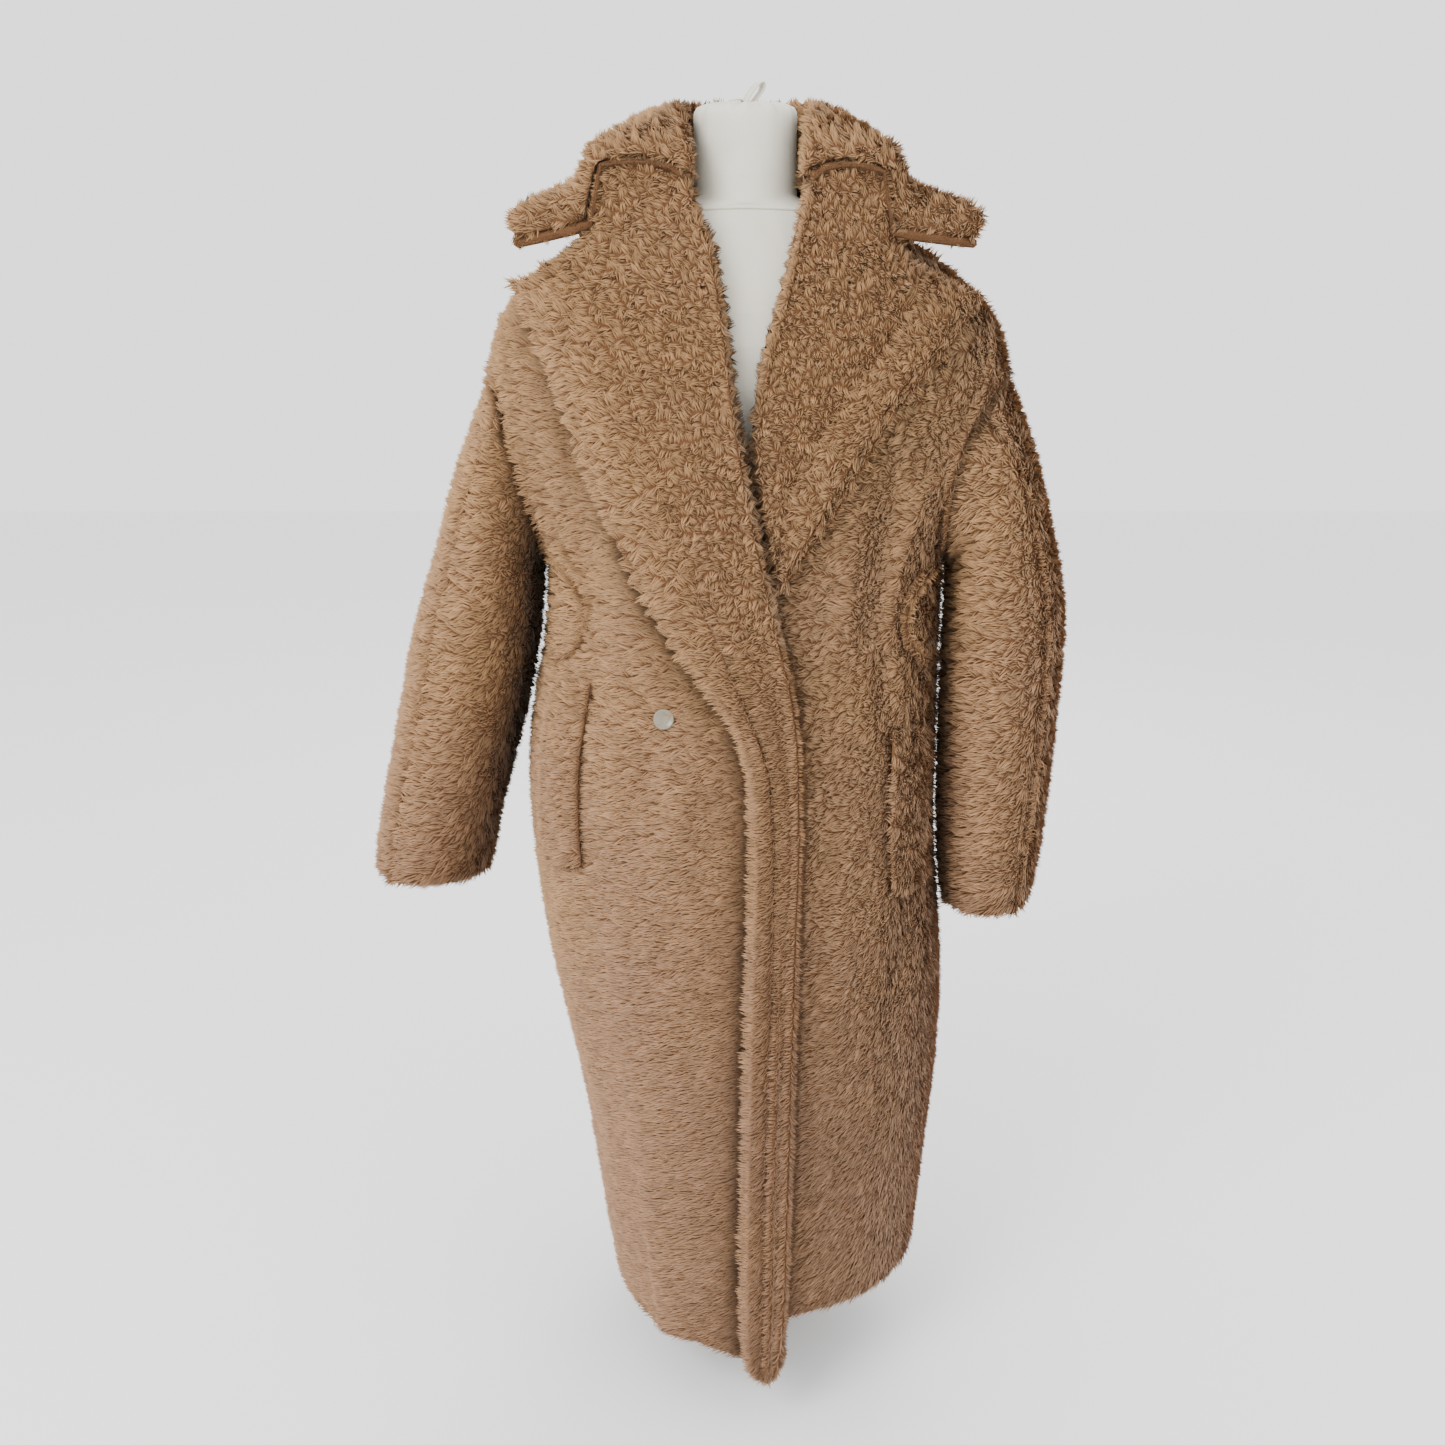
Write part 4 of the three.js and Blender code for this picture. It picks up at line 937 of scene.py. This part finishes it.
# %% Ribbon loop on the cap
# x and z of the ribbon's middle from the crown, in millimetres: up the left leg, over the tip, down the right
RIBBON_LINE = [(-5, -1), (-3.5, 2), (-0.5, 6.5), (4, 11.5), (9, 16), (13.5, 19), (17, 19.8), (18.6, 17.6),
               (17.8, 13.8), (14.6, 9.6), (10.6, 5.6), (7, 2), (5.5, -1)]
RIBBON_TURN = math.radians(42)
RIBBON_ACROSS = Vector((-math.sin(RIBBON_TURN), math.cos(RIBBON_TURN), 0))
RIBBON_HALF = 4.2 * MM
RIBBON_THICK = 0.5 * MM
FLAT_BAND = [(-RIBBON_HALF, -RIBBON_THICK), (RIBBON_HALF, -RIBBON_THICK), (RIBBON_HALF, RIBBON_THICK),
             (-RIBBON_HALF, RIBBON_THICK)]


def finer(corners, steps):
    """A smooth line of points through the given corners."""
    fine = []
    for i in range(len(corners) - 1):
        a, b, c, d = (corners[min(max(i + k, 0), len(corners) - 1)] for k in (-1, 0, 1, 2))
        for step in range(steps):
            t = step / steps
            fine.append(0.5 * (2 * b + (c - a) * t + (2 * a - 5 * b + 4 * c - d) * t * t
                               + (3 * b - a - 3 * c + d) * t ** 3))
    return [*fine, corners[-1]]


def on_crown(x, y, z):
    """A place in millimetres from the cap's crown."""
    return NECK_MIDDLE + Vector((x * MM, y * MM, NECK_CROWN + z * MM))


LOOP_ASIDE = 3
loop_corners = [
    on_crown(x * math.cos(RIBBON_TURN) + LOOP_ASIDE, x * math.sin(RIBBON_TURN), z) for x, z in RIBBON_LINE
]
loop_line = finer(loop_corners, 4)
ribbon = swept("ribbon_loop", loop_line, [RIBBON_ACROSS] * len(loop_line), FLAT_BAND, False, linen)
TAIL_LINE = [(-1, -4, 1), (-5, -6, 2.6), (-10, -9, 2.2), (-15, -12, 1.4)]
tail_line = finer([on_crown(*place) for place in TAIL_LINE], 4)
TAIL_ACROSS = Vector((0.5, -0.85, 0)).normalized()
TAIL_BAND = [(u * 0.6, v) for u, v in FLAT_BAND]
ribbon_tail = swept("ribbon_tail", tail_line, [TAIL_ACROSS] * len(tail_line), TAIL_BAND, False, linen)


# %% Button, half sunk in the pile
# radius and height in millimetres: a dished face with a rounded rim
BUTTON_PROFILE = [(4, -4.4), (8.4, -4.2), (9.6, -3.4), (10, -2.2), (9.8, -1.2), (9.2, -0.7), (8.4, -0.8),
                  (7.6, -1.4), (5.6, -2.0), (3, -2.3)]


def button_frame():
    """The button's middle and its axis, from the solid: its points lie flattest along the axis."""
    corners = np.array([v.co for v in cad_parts["button"].data.vertices])
    middle = corners.mean(axis=0)
    axis = Vector(np.linalg.svd(corners - middle)[2][2])
    return Vector(middle), -axis if axis.y > 0 else axis


button_middle, button_axis = button_frame()
tilted = (button_axis + Vector((0.22, 0, 0.16))).normalized()
turn_to = tilted.to_track_quat("Z", "Y").to_matrix()
button = stacked("button_disc", [
    [button_middle + turn_to @ Vector((radius * MM * math.sin(math.tau * k / 40), radius * MM * math.cos(
        math.tau * k / 40), height * MM)) for k in range(40)]
    for radius, height in BUTTON_PROFILE
], horn)
print("button at", [round(v, 3) for v in button_middle])

# %% [markdown]
# ## Floor and light
# A pale floor, a bright even surround and large soft lights, as in the photograph, where no hard shadow
# falls.

# %% Floor and lights
FLOOR_HALF = 6.0
floor_mesh = bpy.data.meshes.new("floor")
corners = [(-FLOOR_HALF, -FLOOR_HALF, 0), (FLOOR_HALF, -FLOOR_HALF, 0), (FLOOR_HALF, FLOOR_HALF, 0),
           (-FLOOR_HALF, FLOOR_HALF, 0)]
floor_mesh.from_pydata(corners, [], [(0, 1, 2, 3)])
floor = bpy.data.objects.new("floor", floor_mesh)
bpy.context.collection.objects.link(floor)
plain, _, floor_shader, _ = new_material("pale_floor")
floor_shader.inputs["Base Color"].default_value = (0.9, 0.9, 0.9, 1)
floor_shader.inputs["Roughness"].default_value = 0.9
floor_mesh.materials.append(plain)

SURROUND = 1.9
world = bpy.data.worlds.new("studio")
bpy.context.scene.world = world
world.use_nodes = True
world.node_tree.nodes["Background"].inputs[0].default_value = (1, 1, 1, 1)
world.node_tree.nodes["Background"].inputs[1].default_value = SURROUND


def soft_light(name, place, size, power):
    """A large square lamp that looks at the coat's middle."""
    lamp = bpy.data.lights.new(name, "AREA")
    lamp.size = size
    lamp.energy = power
    holder = bpy.data.objects.new(name, lamp)
    holder.location = place
    holder.rotation_euler = (Vector((0, 0, 0.8)) - Vector(place)).to_track_quat("-Z", "Y").to_euler()
    bpy.context.collection.objects.link(holder)


soft_light("key", (-1.6, -2.2, 2.6), 1.4, 90)
soft_light("fill", (2.0, -2.0, 1.6), 1.6, 15)
soft_light("rim", (0.6, 2.2, 2.4), 1.4, 30)

# %% [markdown]
# ## Join the pieces to the frame
# Each piece of cloth and its pile hang from the root, and its solid is hidden. The table gives the size
# that each piece was cut to: width and length of the cut in metres, its area in square metres, how it is
# held and what it lies on.

# %% Join each piece to the root
SHEETS = {
    "front_right": (0.46, 1.22, 0.375, "hung", ["form_torso"]),
    "front_left": (0.45, 1.19, 0.388, "hung", ["form_torso"]),
    "back": (0.82, 1.24, 0.64, "hung", ["form_torso"]),
    "gusset_right": (0.3, 0.1, 0.0184, "hung", ["back"]),
    "gusset_left": (0.3, 0.1, 0.0181, "hung", ["back"]),
    "sleeve_right_upper": (0.18, 0.56, 0.08, "hung", ["back"]),
    "sleeve_right_under": (0.25, 0.52, 0.106, "hung", ["back"]),
    "sleeve_left_upper": (0.19, 0.57, 0.087, "hung", ["back"]),
    "sleeve_left_under": (0.27, 0.53, 0.114, "hung", ["back"]),
    "lapel_right": (0.19, 1.25, 0.103, "folded", ["front_right"]),
    "lapel_left": (0.17, 0.42, 0.036, "folded", ["front_left"]),
    "edge_strip_right": (0.055, 1.26, 0.051, "folded", ["front_right"]),
    "edge_strip_left": (0.058, 0.36, 0.0154, "folded", ["front_left"]),
    "collar": (0.2, 0.86, 0.109, "folded", ["back"]),
    "pocket_welt_right": (0.075, 0.2, 0.0115, "laid", ["front_right"]),
    "pocket_welt_left": (0.072, 0.185, 0.0108, "laid", ["front_left"]),
}
for node, (width, length, area, held, under) in SHEETS.items():
    shell, growth = shells[node], piles[node]
    for piece in (shell, growth):
        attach(piece, "root")
    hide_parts(node)

for piece, node, slot in ((neck_cap, "form_neck", "linen"), (ribbon, "form_tie", "linen"),
                          (ribbon_tail, None, "linen"), (piping, None, "linen"), (button, "button", "button")):
    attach(piece, "root")
    if node:
        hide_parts(node)
